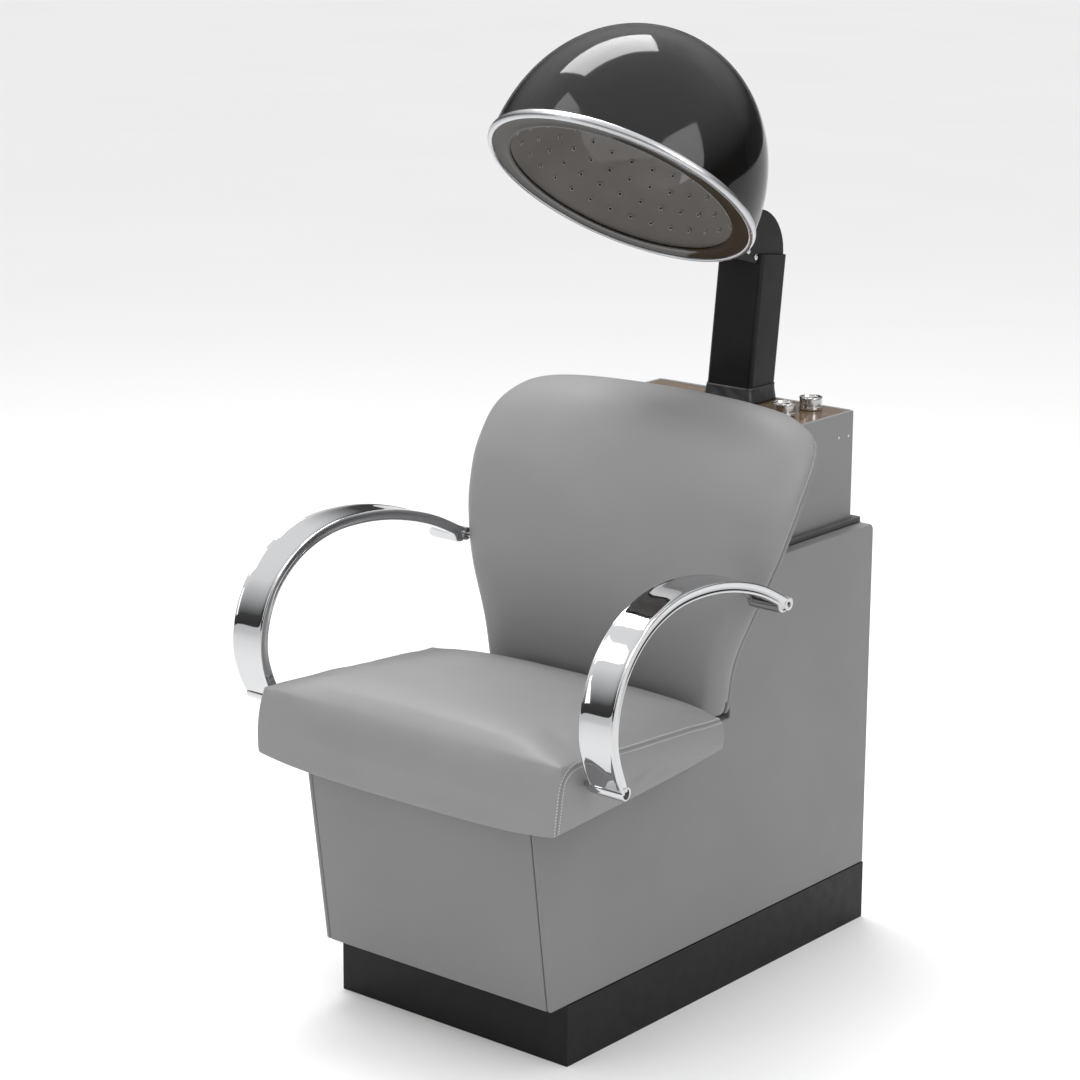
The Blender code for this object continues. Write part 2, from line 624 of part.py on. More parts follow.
# ---------------------------------------------------------------- hood
def dome_curve(radius, base, height, count, power=2.06):
    """A dome's outline from the crown down to its base, as (radius, height) points."""
    points = []
    for i in range(count + 1):
        angle = math.pi / 2 * (1 - i / count)
        points.append((radius * max(0.0, math.cos(angle)) ** (2 / power),
                       base + height * math.sin(angle) ** (2 / power)))
    points[0] = (0.0, base + height)
    return points


def dome_shell(name, radius, base, height, thickness, material, count=9, steps=40):
    outer = dome_curve(radius, base, height, count)
    inner = dome_curve(radius - thickness, base, height - thickness, count)
    return turned(name, outer + inner[::-1], HOOD_FRAME, material, steps)


def neck_outline(wall):
    """The neck's side view: an arc about the hinge behind, running forward into the dome."""
    y, z = PIVOT
    radius = NECK_RADIUS - wall
    top = [(0.250, 1.0990 - wall), (0.200, 1.1150 - wall)]
    bottom = [(0.190, 1.0345 + wall), (0.235, 1.0230 + wall)]
    if wall:
        tail = [(y - 0.0040, z - 0.0077), (y - 0.0035, z - 0.014), (y + 0.004, z - 0.016)]
        return [*arc(PIVOT, radius, -26, 92, 18), *top, *bottom, *tail]
    return [*arc(PIVOT, radius, -18, 92, 16), *top, *bottom, *arc(PIVOT, 0.0090, 250, 342, 6)]


def build_hood():
    base = RIM_HEIGHT + GAP
    shell = dome_shell("hood_outer_shell", DOME_RADIUS, base, DOME_HEIGHT, 0.003, SMOKE)
    inlet = [(0.262, 1.088), (0.200, 1.108), (0.195, 1.048), (0.245, 1.036)]
    boolean(shell, side_plate("shell_inlet", inlet, -0.029, 0.029))
    lip_top = 0.0063
    bonnet = dome_shell("hood_inner_bonnet", BONNET_RADIUS, lip_top + GAP, BONNET_HEIGHT, 0.0025, SMOKE)
    lip = [(0.166, lip_top), (0.180, lip_top), (0.1919, 0.0055), (0.1919, 0.0025), (0.180, 0.0033), (0.166, 0.0033)]
    lip_ring = turned("hood_lip_ring", lip, HOOD_FRAME, SMOKE)
    rim = [(0.1922, RIM_HEIGHT), (0.1975, RIM_HEIGHT), (0.1998, 0.0108), (RIM_RADIUS, 0.0070),
           (0.1996, 0.0025), (0.1965, 0.0), (0.1935, 0.0), (0.1922, 0.0015)]
    band = turned("hood_rim_band", rim, HOOD_FRAME, ALUMINIUM)
    skin = dome_curve(DOME_RADIUS + GAP, base, DOME_HEIGHT + GAP, 9)
    envelope = turned("dome_envelope", [*skin, (DOME_RADIUS + GAP, 0.0), (0.0, 0.0)], HOOD_FRAME)
    neck = side_plate("hood_neck", neck_outline(0.0), -NECK_HALF_WIDTH, NECK_HALF_WIDTH, DUCT_BLACK)
    half = NECK_HALF_WIDTH - SHEET
    boolean(neck, side_plate("neck_airway", neck_outline(0.0013), -half, half))
    boolean(neck, envelope)
    y, z = PIVOT
    boolean(neck, rod("neck_pivot_hole", 0.0028, (-0.05, y, z), (0.05, y, z), None, 20))
    screw_y, screw_z = y - 0.020, z + 0.011
    boolean(neck, rod("neck_screw_hole", 0.0023, (-0.05, screw_y, screw_z), (0.05, screw_y, screw_z), None, 20))
    pieces = [shell, bonnet, lip_ring, band, neck]
    for side, sign in (("left", -1), ("right", 1)):
        frame = Matrix.Translation((0, screw_y, screw_z)) @ Matrix.Rotation(sign * math.pi / 2, 4, "Y")
        profile = [(0.0, 0.0368), (0.0030, 0.0365), (0.0042, 0.0355), (0.0042, NECK_HALF_WIDTH + GAP),
                   (0.0020, NECK_HALF_WIDTH + GAP), (0.0020, 0.0300), (0.0, 0.0300)]
        pieces.append(turned(f"neck_screw_{side}", profile, frame, CHROME, 16))
    pieces.append(build_plug(shell))
    pieces.append(build_diffuser())
    return pieces


def build_plug(shell):
    """The oval rubber plug in the crown of the outer shell."""
    frame = HOOD_FRAME @ Matrix.Translation((0, 0, 0.2375))
    stretch = Matrix.Diagonal((1.3, 1.0, 1.0, 1.0))
    boolean(shell, turned("plug_hole", [(0.0, 0.02), (0.0095, 0.02), (0.0095, -0.02), (0.0, -0.02)],
                          frame @ stretch, None, 24))
    profile = [(0.0, 0.0075), (0.0075, 0.0070), (0.0120, 0.0055), (0.0120, 0.0050), (0.0091, 0.0050),
               (0.0091, -0.0040), (0.0, -0.0040)]
    return turned("hood_top_plug", profile, frame @ stretch, RUBBER, 24)


def build_diffuser():
    """A curved baffle in the space between the shells, facing the air that the neck brings in."""
    curve = dome_shell("air_diffuser", 0.1840, 0.014, 0.2140, 0.0012, DUCT_BLACK, 9, 40)
    window = side_plate("diffuser_window", [(0.30, 1.005), (0.30, 1.13), (0.14, 1.13), (0.14, 1.005)],
                        -0.055, 0.055)
    return boolean(curve, window, "INTERSECT")


# ---------------------------------------------------------------- air and electrics
def build_blower():
    y, z = BLOWER_AT
    half = DRUM_HALF_WIDTH
    wall = 0.0015
    scroll = rod("blower_scroll", DRUM_RADIUS, (-half, y, z), (half, y, z), STEEL, 40)
    outlet = box("scroll_outlet", (-half, -0.028, -0.390), (half, 0.028, -0.3025), None, DUCT_FRAME)
    boolean(scroll, outlet, "UNION")
    boolean(scroll, rod("scroll_room", DRUM_RADIUS - wall, (-half + wall, y, z), (half - wall, y, z), None, 40))
    boolean(scroll, box("scroll_outlet_room", (-half + wall, -0.0265, -0.3885), (half - wall, 0.0265, -0.29),
                        None, DUCT_FRAME))
    boolean(scroll, rod("scroll_inlet", 0.036, (-0.05, y, z), (-0.02, y, z)))
    boolean(scroll, rod("scroll_shaft_hole", 0.006, (0.02, y, z), (0.05, y, z), None, 20))
    motor = rod("blower_motor", 0.034, (half + GAP, y, z), (0.100, y, z), STEEL, 32)
    boolean(motor, rod("motor_bore", 0.0043, (0.0, y, z), (0.075, y, z), None, 20))
    shaft = rod("motor_shaft", 0.0040, (-0.022, y, z), (0.074, y, z), STEEL, 20)
    bracket = box("motor_bracket", (0.048, y - 0.026, SHELF_TOP + GAP), (0.090, y + 0.026, z - 0.012), STEEL)
    boolean(bracket, rod("motor_seat", 0.0343, (0.03, y, z), (0.11, y, z), None, 32))
    wheel_frame = Matrix.Translation((0, y, z)) @ Matrix.Rotation(math.pi / 2, 4, "Y")
    cup = [(0.0, 0.024), (0.047, 0.024), (0.047, -0.030), (0.041, -0.030), (0.041, 0.021), (0.009, 0.021),
           (0.009, 0.006), (0.0, 0.006)]
    wheel = turned("blower_wheel", cup, wheel_frame, STEEL, 32)
    boolean(wheel, rod("wheel_bore", 0.0043, (-0.03, y, z), (0.05, y, z), None, 20))
    blades = 12
    for i in range(blades):
        turn = Matrix.Rotation(2 * math.pi * i / blades, 4, "Z")
        boolean(wheel, box(f"blade_slot_{i}", (0.035, -0.006, -0.026), (0.052, 0.006, 0.017), None,
                           wheel_frame @ turn))
    return wheel, shaft


def build_heater():
    outer = rounded_rectangle(0.0382, 0.0317, 0.006)
    inner = rounded_rectangle(0.0352, 0.0287, 0.003)
    middle = Matrix.Translation((0, 0, -0.260))
    plate("heater_frame", [outer, inner], 0.056, DUCT_FRAME @ middle, MICA)
    curve = bpy.data.curves.new("heater_coil", "CURVE")
    curve.dimensions = "3D"
    curve.bevel_depth = 0.0011
    curve.bevel_resolution = 1
    curve.use_fill_caps = True
    turns, per_turn, radius = 6, 8, 0.017
    spline = curve.splines.new("POLY")
    spline.points.add(turns * per_turn)
    for i, point in enumerate(spline.points):
        angle = 2 * math.pi * i / per_turn
        x = mix(-0.028, 0.028, i / (turns * per_turn))
        point.co = (x, radius * math.cos(angle), radius * math.sin(angle), 1.0)
    coil = bpy.data.objects.new("heater_coil", curve)
    PARTS.objects.link(coil)
    coil.matrix_world = DUCT_FRAME @ middle
    keep(coil, "heater_coil", WIRE)
    box("thermostat", (DRUM_HALF_WIDTH + GAP, -0.010, -0.340), (DRUM_HALF_WIDTH + 0.009, 0.010, -0.320),
        MICA, DUCT_FRAME)


def build_controls():
    under = BOX_TOP - 0.0028 - GAP
    knobs = {}
    for label, (x, y), half, depth in (("timer", TIMER_AT, 0.021, 0.038), ("heat", HEAT_AT, 0.016, 0.026)):
        body = box(f"{label}_switch", (x - half, y - half, under - depth), (x + half, y + half, under), NYLON)
        boolean(body, rod(f"{label}_switch_bore", 0.0043, (x, y, under - 0.014), (x, y, under + 0.01), None, 20))
        base = BOX_TOP - 0.0008 + GAP
        top = base + KNOB_HEIGHT
        profile = [(0.0, top - 0.004), (0.0130, top - 0.004), (0.0145, top - 0.0005), (0.0155, top),
                   (KNOB_RADIUS, top - 0.0012), (KNOB_RADIUS, base + 0.002), (0.0160, base),
                   (0.0040, base), (0.0040, under - 0.012), (0.0, under - 0.012)]
        pose = Matrix.Translation((x, y, 0))
        knobs[label] = turned(f"{label}_knob", profile, pose, CHROME, 28)
    return knobs


def build_intake():
    front = CABINET_REAR + GAP
    grille = box("intake_grille", (-0.090, front, 0.375), (0.090, 0.412, 0.505), STEEL)
    rows = 7
    for i in range(rows):
        z = mix(0.397, 0.483, i / (rows - 1))
        boolean(grille, box(f"grille_slot_{i}", (-0.070, 0.40, z - 0.0035), (0.070, 0.42, z + 0.0035)))
    inner = CABINET_REAR - BOARD - GAP
    box("lint_filter", (-0.088, inner - 0.006, 0.377), (0.088, inner, 0.503), FELT)
    inlet = box("power_inlet", (-0.0140, 0.386, 0.1905), (0.0140, 0.4115, 0.2105), RUBBER)
    boolean(inlet, box("inlet_flange", (-0.020, front, 0.1835), (0.020, 0.412, 0.2175)), "UNION")
    boolean(inlet, box("inlet_mouth", (-0.0110, 0.392, 0.1935), (0.0110, 0.42, 0.2075)))


# ---------------------------------------------------------------- assembly
build_plinth()
build_side_panels()
build_front_panel()
build_cabinet_boards()
build_blower_box()
build_control_plate()
seat_cushion, seat_frame = build_seat()
back_cushion, back_blocks = build_back()
build_arms(seat_cushion, seat_frame, back_cushion, back_blocks)
build_outer_duct()
build_boot()
inner_duct = build_inner_duct()
hinge_screws = build_hinge_screws()
hood_pieces = build_hood()
wheel, shaft = build_blower()
build_heater()
knobs = build_controls()
build_intake()

slide_axis = hinge_empty("hood_height_axis", DUCT_TOP)
hang(slide_axis, inner_duct, *hinge_screws)
tilt_axis = hinge_empty("hood_tilt_axis", (0.0, *PIVOT))
hang(tilt_axis, *hood_pieces)
hang(hinge_empty("blower_axis", (0.0, *BLOWER_AT)), wheel, shaft)
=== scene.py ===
"""Looks for the hood hair dryer on a box chair: upholstery, chrome arms, smoked hood, duct and cabinet."""

import math

import bmesh
import bpy
from mathutils import Matrix, Vector, noise
from mathutils.bvhtree import BVHTree
from mathutils.kdtree import KDTree


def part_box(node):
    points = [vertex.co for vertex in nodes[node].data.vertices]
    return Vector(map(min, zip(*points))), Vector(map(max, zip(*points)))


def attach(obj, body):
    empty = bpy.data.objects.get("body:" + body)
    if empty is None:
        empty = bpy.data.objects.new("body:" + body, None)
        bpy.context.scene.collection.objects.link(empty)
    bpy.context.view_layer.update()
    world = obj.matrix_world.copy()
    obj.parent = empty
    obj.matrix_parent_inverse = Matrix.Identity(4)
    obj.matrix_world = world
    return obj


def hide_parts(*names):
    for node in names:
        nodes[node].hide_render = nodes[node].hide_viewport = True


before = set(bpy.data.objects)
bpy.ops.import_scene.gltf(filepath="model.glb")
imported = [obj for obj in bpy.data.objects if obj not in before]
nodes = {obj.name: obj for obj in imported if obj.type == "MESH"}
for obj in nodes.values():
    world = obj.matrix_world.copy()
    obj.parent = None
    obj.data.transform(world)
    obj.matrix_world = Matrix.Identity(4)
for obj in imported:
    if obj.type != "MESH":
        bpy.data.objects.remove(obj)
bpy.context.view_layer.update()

# ---------------------------------------------------------------- sizes shared with the frame
HOOD_PITCH = math.radians(-36.48)
HOOD_FRAME = Matrix.Translation((0.0, 0.0506, 1.1285)) @ Matrix.Rotation(HOOD_PITCH, 4, "X")
DOME_RADIUS, DOME_BASE, DOME_HEIGHT, DOME_WALL = 0.1965, 0.0130, 0.229, 0.003
BONNET_RADIUS, BONNET_BASE, BONNET_HEIGHT, BONNET_WALL = 0.172, 0.0066, 0.203, 0.0025
DOME_POWER = 2.06                 # exponent of both domes' outline, slightly fuller than round
RIM_RADIUS, RIM_HEIGHT = 0.2005, 0.0127
PLUG_HEIGHT = 0.2375              # the crown plug above the hood's rim plane
DUCT_LEAN = math.atan(0.1222)
DUCT_FRAME = Matrix.Translation((0.0, 0.3762, 1.0037)) @ Matrix.Rotation(-DUCT_LEAN, 4, "X")
BOOT_HALF = (0.040, 0.0335 + 0.0003)
BOOT_HEIGHT, BOOT_LEVELS, BOOT_SIDES = 0.023, 9, 120

SEAT_FRONT, SEAT_REAR, SEAT_HALF_WIDTH = -0.4128, -0.010, 0.271
BACK_ROWS = (                     # height, half width and setback of the backrest's seam
    (0.412, 0.209, 0.0390), (0.490, 0.220, 0.0370), (0.565, 0.252, 0.0400), (0.640, 0.277, 0.0600),
    (0.708, 0.288, 0.0860), (0.768, 0.288, 0.1260), (0.793, 0.266, 0.1660), (0.804, 0.220, 0.1880))
BACK_CROWN = 0.012
ARM_LINE = (                      # outer face of the arm's flat bar, (y, z), front to rear
    (-0.3580, 0.4277), (-0.3742, 0.4586), (-0.3853, 0.5027), (-0.3791, 0.5526), (-0.3545, 0.6009),
    (-0.3088, 0.6404), (-0.2488, 0.6629), (-0.1834, 0.6675), (-0.1117, 0.6593), (-0.0364, 0.6374),
    (0.0353, 0.6023))
ARM_INNER, ARM_WIDTH, ARM_TOE_IN, ARM_STEP = 0.280, 0.055, 0.050, 0.004
ARM_FRONT_BOLT, ARM_REAR_BOLT = (-0.3515, 0.430), (0.0320, 0.5959)
ARM_DEPTHS = (                    # distance from the rear end, thickness of the bar
    (0.0, 0.0185), (0.006, 0.0215), (0.013, 0.0245), (0.018, 0.0240), (0.0225, 0.0170), (0.030, 0.0165),
    (1.0, 0.0165))
BOX_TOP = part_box("box_wall_right")[1].z
STITCH_ASIDE, STITCH_PITCH, STITCH_LENGTH, STITCH_RADIUS = 0.0038, 0.0042, 0.0026, 0.00046
STITCH_RINGS = ((-0.5, 0.25, -0.6), (-0.28, 0.9, 0.3), (0.0, 1.0, 0.55), (0.28, 0.9, 0.3), (0.5, 0.25, -0.6))
STITCH_ANGLES = (0.5, 1.55, 2.6, 3.65, 4.7, 5.75)
CLOTH_PRESSURE, CLOTH_FRAMES = 4.0, 20


# ---------------------------------------------------------------- node materials
class Shader:
    """A Principled material and short ways to add the texture nodes that feed it."""

    def __init__(self, name, colour, roughness, metallic=0.0, **sockets):
        self.material = bpy.data.materials.new(name)
        self.material.use_nodes = True
        self.tree = self.material.node_tree
        self.shader = self.tree.nodes["Principled BSDF"]
        self.colour = colour
        self.set("Base Color", (*colour, 1.0))
        self.set("Roughness", roughness)
        self.set("Metallic", metallic)
        for socket, value in sockets.items():
            self.set(socket.replace("_", " "), value)
        self.place = self.tree.nodes.new("ShaderNodeTexCoord").outputs["Object"]
        self.normal = None

    def set(self, socket, value):
        self.shader.inputs[socket].default_value = value

    def link(self, output, target):
        self.tree.links.new(output, target)

    def stretched(self, scale):
        """The object's coordinates with each axis scaled, for grain that runs one way."""
        mapping = self.tree.nodes.new("ShaderNodeMapping")
        mapping.inputs["Scale"].default_value = scale
        self.link(self.place, mapping.inputs["Vector"])
        return mapping.outputs["Vector"]

    def noise(self, scale, detail=3.0, vector=None, distortion=0.0):
        node = self.tree.nodes.new("ShaderNodeTexNoise")
        node.inputs["Scale"].default_value = scale
        node.inputs["Detail"].default_value = detail
        node.inputs["Distortion"].default_value = distortion
        self.link(vector or self.place, node.inputs["Vector"])
        return node.outputs["Fac"]

    def cells(self, scale):
        node = self.tree.nodes.new("ShaderNodeTexVoronoi")
        node.inputs["Scale"].default_value = scale
        self.link(self.place, node.inputs["Vector"])
        return node.outputs["Distance"]

    def ramp(self, value, low, high, colours):
        """Colours spread between two values of a texture."""
        node = self.tree.nodes.new("ShaderNodeValToRGB")
        stops = node.color_ramp.elements
        stops[0].position, stops[1].position = low, high
        stops[0].color, stops[1].color = (*colours[0], 1.0), (*colours[-1], 1.0)
        self.link(value, node.inputs["Fac"])
        return node.outputs["Color"]

    def spread(self, value, low, high, socket):
        """A texture's 0.3..0.7 mapped to a range that drives one of the shader's sockets."""
        node = self.tree.nodes.new("ShaderNodeMapRange")
        node.inputs["From Min"].default_value = 0.3
        node.inputs["From Max"].default_value = 0.7
        node.inputs["To Min"].default_value = low
        node.inputs["To Max"].default_value = high
        self.link(value, node.inputs["Value"])
        self.link(node.outputs["Result"], self.shader.inputs[socket])

    def tint(self, value, darker, lighter, low=0.35, high=0.65):
        """The base colour varied between two multiples of itself, over a range of the texture."""
        colours = [tuple(min(1.0, c * k) for c in self.colour) for k in (darker, lighter)]
        self.link(self.ramp(value, low, high, colours), self.shader.inputs["Base Color"])

    def bump(self, height, strength, distance):
        node = self.tree.nodes.new("ShaderNodeBump")
        node.inputs["Strength"].default_value = strength
        node.inputs["Distance"].default_value = distance
        self.link(height, node.inputs["Height"])
        if self.normal:
            self.link(self.normal, node.inputs["Normal"])
        self.normal = node.outputs["Normal"]
        self.link(self.normal, self.shader.inputs["Normal"])


def vinyl(name, colour, roughness=0.40, grain=0.22):
    """Upholstery vinyl: fine pebble grain, soft mottling and slow waves of gloss."""
    look = Shader(name, colour, roughness, Specular_IOR_Level=0.36)
    look.tint(look.noise(5.0, 3.0), 0.97, 1.03)
    look.spread(look.noise(9.0, 3.0), roughness - 0.03, roughness + 0.05, "Roughness")
    look.bump(look.cells(850.0), grain, 0.0003)
    look.bump(look.noise(2200.0, 2.0), grain * 0.8, 0.0002)
    return look.material


def chrome(name, colour=(0.550, 0.556, 0.562), roughness=0.03):
    """Polished plating with faint handling haze."""
    look = Shader(name, colour, roughness, 1.0)
    look.spread(look.noise(22.0, 5.0), roughness, roughness + 0.035, "Roughness")
    look.bump(look.noise(16.0, 2.0), 0.06, 0.002)
    return look.material


def smoked(name, colour, alpha, haze=0.02, gloss=0.5):
    """Glossy smoked plastic that shows what is behind it, with wiping haze."""
    look = Shader(name, colour, 0.05, Alpha=alpha, IOR=1.49, Specular_IOR_Level=gloss)
    wiped = look.noise(10.0, 6.0, look.stretched((1.0, 5.0, 1.0)), 0.6)
    look.spread(wiped, 0.035, 0.035 + haze * 3.0, "Roughness")
    look.tint(look.noise(5.0, 2.0), 0.85, 1.15)
    return look.material


def satin_black(name, roughness=0.36):
    """Powder-coated sheet: near black with a fine orange-peel skin."""
    look = Shader(name, (0.0055, 0.0057, 0.0062), roughness, Specular_IOR_Level=0.24)
    look.tint(look.noise(30.0, 5.0), 0.8, 1.35)
    look.spread(look.noise(18.0, 4.0), roughness - 0.04, roughness + 0.08, "Roughness")
    look.bump(look.noise(1500.0, 2.0), 0.18, 0.0002)
    return look.material


def brushed(name, colour, roughness, along):
    """Metal brushed one way: fine lines that stretch along one axis."""
    look = Shader(name, colour, roughness, 1.0)
    lines = look.noise(60.0, 4.0, look.stretched(along))
    look.spread(lines, roughness - 0.06, roughness + 0.08, "Roughness")
    look.tint(lines, 0.9, 1.05)
    look.bump(lines, 0.05, 0.0003)
    return look.material


def laminate(name):
    """Plinth laminate: near black, slightly pebbled, scuffed a little lighter in patches."""
    look = Shader(name, (0.0050, 0.0050, 0.0058), 0.42, Specular_IOR_Level=0.22)
    look.tint(look.noise(40.0, 6.0), 0.85, 1.2)
    look.spread(look.noise(60.0, 5.0), 0.36, 0.48, "Roughness")
    look.bump(look.noise(900.0, 3.0), 0.2, 0.0003)
    return look.material


def wood_laminate(name, colours, roughness, coat):
    """Straight-grained wood figure, under a clear skin where coat is above zero."""
    look = Shader(name, colours[0], roughness, Coat_Weight=coat, Coat_Roughness=0.05)
    grain = look.noise(9.0, 7.0, look.stretched((1.2, 9.0, 9.0)), 0.8)
    look.link(look.ramp(grain, 0.32, 0.68, colours), look.shader.inputs["Base Color"])
    look.bump(grain, 0.08, 0.0004)
    return look.material


def plain(name, colour, roughness, metallic=0.0, speckle=400.0, depth=0.0003):
    """Moulded or cast stuff: slight mottling and a fine skin."""
    look = Shader(name, colour, roughness, metallic)
    look.tint(look.noise(25.0, 4.0), 0.88, 1.1)
    look.spread(look.noise(35.0, 4.0), roughness * 0.85, min(1.0, roughness * 1.2), "Roughness")
    look.bump(look.noise(speckle, 3.0), 0.25, depth)
    return look.material


SEAT_VINYL = vinyl("seat_vinyl", (0.245, 0.245, 0.247), 0.46)
PANEL_VINYL = vinyl("panel_vinyl", (0.205, 0.205, 0.207), 0.50)
PIPING_VINYL = vinyl("piping_vinyl", (0.36, 0.36, 0.362), 0.38, 0.1)
# Darker copy of the seat vinyl for the seam cords: painted shade in the seams' creases.
SEAM_SHADE_VINYL = vinyl("seam_painted_shade", (0.120, 0.120, 0.121), 0.55, 0.1)
WELT = plain("welt_braid", (0.070, 0.067, 0.066), 0.65, 0.0, 260.0, 0.0030)
THREAD = plain("thread", (0.70, 0.70, 0.70), 0.55, 0.0, 3000.0, 0.0001)
CHROME = chrome("chrome")
KNOB_CHROME = chrome("knob_chrome", (0.56, 0.55, 0.54), 0.16)
STEEL = brushed("zinc_steel", (0.55, 0.55, 0.56), 0.32, (1.0, 14.0, 14.0))
SMOKED_SHELL = smoked("smoked_shell", (0.0045, 0.0038, 0.0034), 0.74)
SMOKED_BONNET = smoked("smoked_bonnet", (0.290, 0.272, 0.256), 0.90)
SMOKED_LIP = smoked("smoked_lip", (0.022, 0.018, 0.012), 0.90, 0.03, 0.12)
# Nozzle rings: paler than the bonnet's plastic, a painted highlight on each ring.
NOZZLE_PAINTED_HIGHLIGHT = plain("bonnet_nozzle_painted_highlight", (0.42, 0.40, 0.37), 0.18, 0.0, 900.0, 0.0001)
# Dark discs in the nozzle openings: painted shade, not a part of their own.
NOZZLE_HOLE_SHADE = plain("nozzle_hole_painted_shade", (0.02, 0.018, 0.016), 0.3, 0.0, 900.0, 0.0001)
ALUMINIUM = chrome("satin_aluminium", (0.50, 0.51, 0.52), 0.26)
DUCT_BLACK = satin_black("satin_black_sheet")
LAMINATE = laminate("black_laminate")
BROWN_PLATE = wood_laminate("brown_plate", ((0.13, 0.080, 0.045), (0.21, 0.135, 0.080)), 0.12, 0.8)
PLYWOOD = wood_laminate("plywood", ((0.50, 0.35, 0.20), (0.62, 0.46, 0.28)), 0.6, 0.0)
# Black rubber for the crown plug, pointers and inlet; the same dark material paints the shade of the
# baffle's air holes.
RUBBER_AND_HOLE_SHADE = plain("black_rubber", (0.014, 0.014, 0.014), 0.55, 0.0, 700.0, 0.0004)
BOOT_VINYL = plain("boot_vinyl", (0.020, 0.020, 0.021), 0.42, 0.0, 60.0, 0.002)
NYLON = plain("white_nylon", (0.72, 0.72, 0.69), 0.5)
WIRE = brushed("heating_wire", (0.42, 0.36, 0.30), 0.35, (1.0, 1.0, 1.0))
MICA = plain("mica_board", (0.52, 0.47, 0.38), 0.55, 0.0, 120.0, 0.0005)
FOAM = plain("filter_foam", (0.05, 0.05, 0.055), 0.95, 0.0, 260.0, 0.003)
# Dark metal for the discs in the arm eyes' bores: painted shade in the recesses.
BORE_SHADE = plain("bore_painted_shade", (0.03, 0.03, 0.032), 0.3, 0.8)


# ---------------------------------------------------------------- building helpers
def piece(name, mesh, material, body, *replaced, slot):
    """A new piece that rides on a body and stands for the CAD nodes named after it."""
    obj = bpy.data.objects.new(name, mesh)
    bpy.context.scene.collection.objects.link(obj)
    obj.data.materials.clear()
    obj.data.materials.append(material)
    obj.data.shade_smooth()
    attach(obj, body)
    if replaced:
        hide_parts(*replaced)
    return obj


def mesh_of(bm, name):
    bmesh.ops.recalc_face_normals(bm, faces=bm.faces)
    mesh = bpy.data.meshes.new(name)
    bm.to_mesh(mesh)
    bm.free()
    return mesh


def spin(bm, profile, frame_matrix, steps):
    """Adds a turned form: (radius, height) points spun about the frame's Z axis."""
    closed = profile[0][0] > 0.0
    rings = []
    for radius, height in profile:
        if radius <= 0.0:
            rings.append([bm.verts.new(frame_matrix @ Vector((0.0, 0.0, height)))])
            continue
        angles = [2 * math.pi * i / steps for i in range(steps)]
        around = [Vector((radius * math.cos(a), radius * math.sin(a), height)) for a in angles]
        rings.append([bm.verts.new(frame_matrix @ place) for place in around])
    pairs = list(zip(rings, rings[1:])) + ([(rings[-1], rings[0])] if closed else [])
    for lower, upper in pairs:
        for i in range(steps):
            j = (i + 1) % steps
            corners = (lower[i % len(lower)], lower[j % len(lower)],
                       upper[j % len(upper)], upper[i % len(upper)])
            corners = list(dict.fromkeys(corners))
            if len(corners) > 2:
                bm.faces.new(corners)


def turned(name, profile, frame_matrix, material, body, *replaced, slot, steps=96, sharp=40.0):
    """A turned piece; edges sharper than sharp degrees stay crisp."""
    bm = bmesh.new()
    spin(bm, profile, frame_matrix, steps)
    obj = piece(name, mesh_of(bm, name), material, body, *replaced, slot=slot)
    obj.data.set_sharp_from_angle(angle=math.radians(sharp))
    return obj


def subdivide(obj, levels):
    modifier = obj.modifiers.new("subdivision", "SUBSURF")
    modifier.levels = modifier.render_levels = levels
    return obj


def apply_modifiers(obj):
    """Replaces the piece's mesh with what its modifiers make of it."""
    bpy.context.view_layer.update()
    evaluated = obj.evaluated_get(bpy.context.evaluated_depsgraph_get())
    mesh = bpy.data.meshes.new_from_object(evaluated)
    obj.modifiers.clear()
    obj.data = mesh
    return obj


def smooth_line(points, per_span):
    """A Catmull-Rom line through the points, in any number of dimensions."""
    ends = [Vector(p) for p in points]
    ends = [2 * ends[0] - ends[1], *ends, 2 * ends[-1] - ends[-2]]
    line = []
    for a, b, c, d in zip(ends, ends[1:], ends[2:], ends[3:]):
        for i in range(per_span):
            t = i / per_span
            line.append(0.5 * (2 * b + (c - a) * t + (2 * a - 5 * b + 4 * c - d) * t * t
                               + (3 * b - a - 3 * c + d) * t ** 3))
    return [*line, ends[-2]]


def even_steps(line, step):
    """Points an even distance apart along a line of points."""
    points, carried = [line[0]], 0.0
    for a, b in zip(line, line[1:]):
        length = (b - a).length
        travelled = step - carried
        while travelled < length:
            points.append(a.lerp(b, travelled / length))
            travelled += step
        carried = length - (travelled - step)
    return points


def tube(name, line, radius, material, body, slot):
    """A round cord along a line of points."""
    curve = bpy.data.curves.new(name, "CURVE")
    curve.dimensions = "3D"
    curve.bevel_depth = radius
    curve.bevel_resolution = 2
    curve.use_fill_caps = True
    spline = curve.splines.new("POLY")
    spline.points.add(len(line) - 1)
    for point, place in zip(spline.points, line):
        point.co = (*place, 1.0)
    holder = bpy.data.objects.new(name, curve)
    bpy.context.scene.collection.objects.link(holder)
    bpy.context.view_layer.update()
    mesh = bpy.data.meshes.new_from_object(holder.evaluated_get(bpy.context.evaluated_depsgraph_get()))
    bpy.data.objects.remove(holder)
    return piece(name, mesh, material, body, slot=slot)


def keep_node(name, material, edge=0.0, segments=3):
    """A CAD node that stays: a new material, and softened edges where the real piece has them."""
    obj = nodes[name]
    obj.data.materials.clear()
    obj.data.materials.append(material)
    if edge:
        weld = obj.modifiers.new("weld", "WELD")
        weld.merge_threshold = 0.00001
        bevel = obj.modifiers.new("edges", "BEVEL")
        bevel.width = edge
        bevel.segments = segments
        bevel.limit_method = "ANGLE"
        bevel.angle_limit = math.radians(30)
        bevel.harden_normals = False
        obj.data.shade_smooth()
        normals = obj.modifiers.new("normals", "WEIGHTED_NORMAL")
        normals.keep_sharp = True
    return obj


def mix(a, b, t):
    return a + (b - a) * t


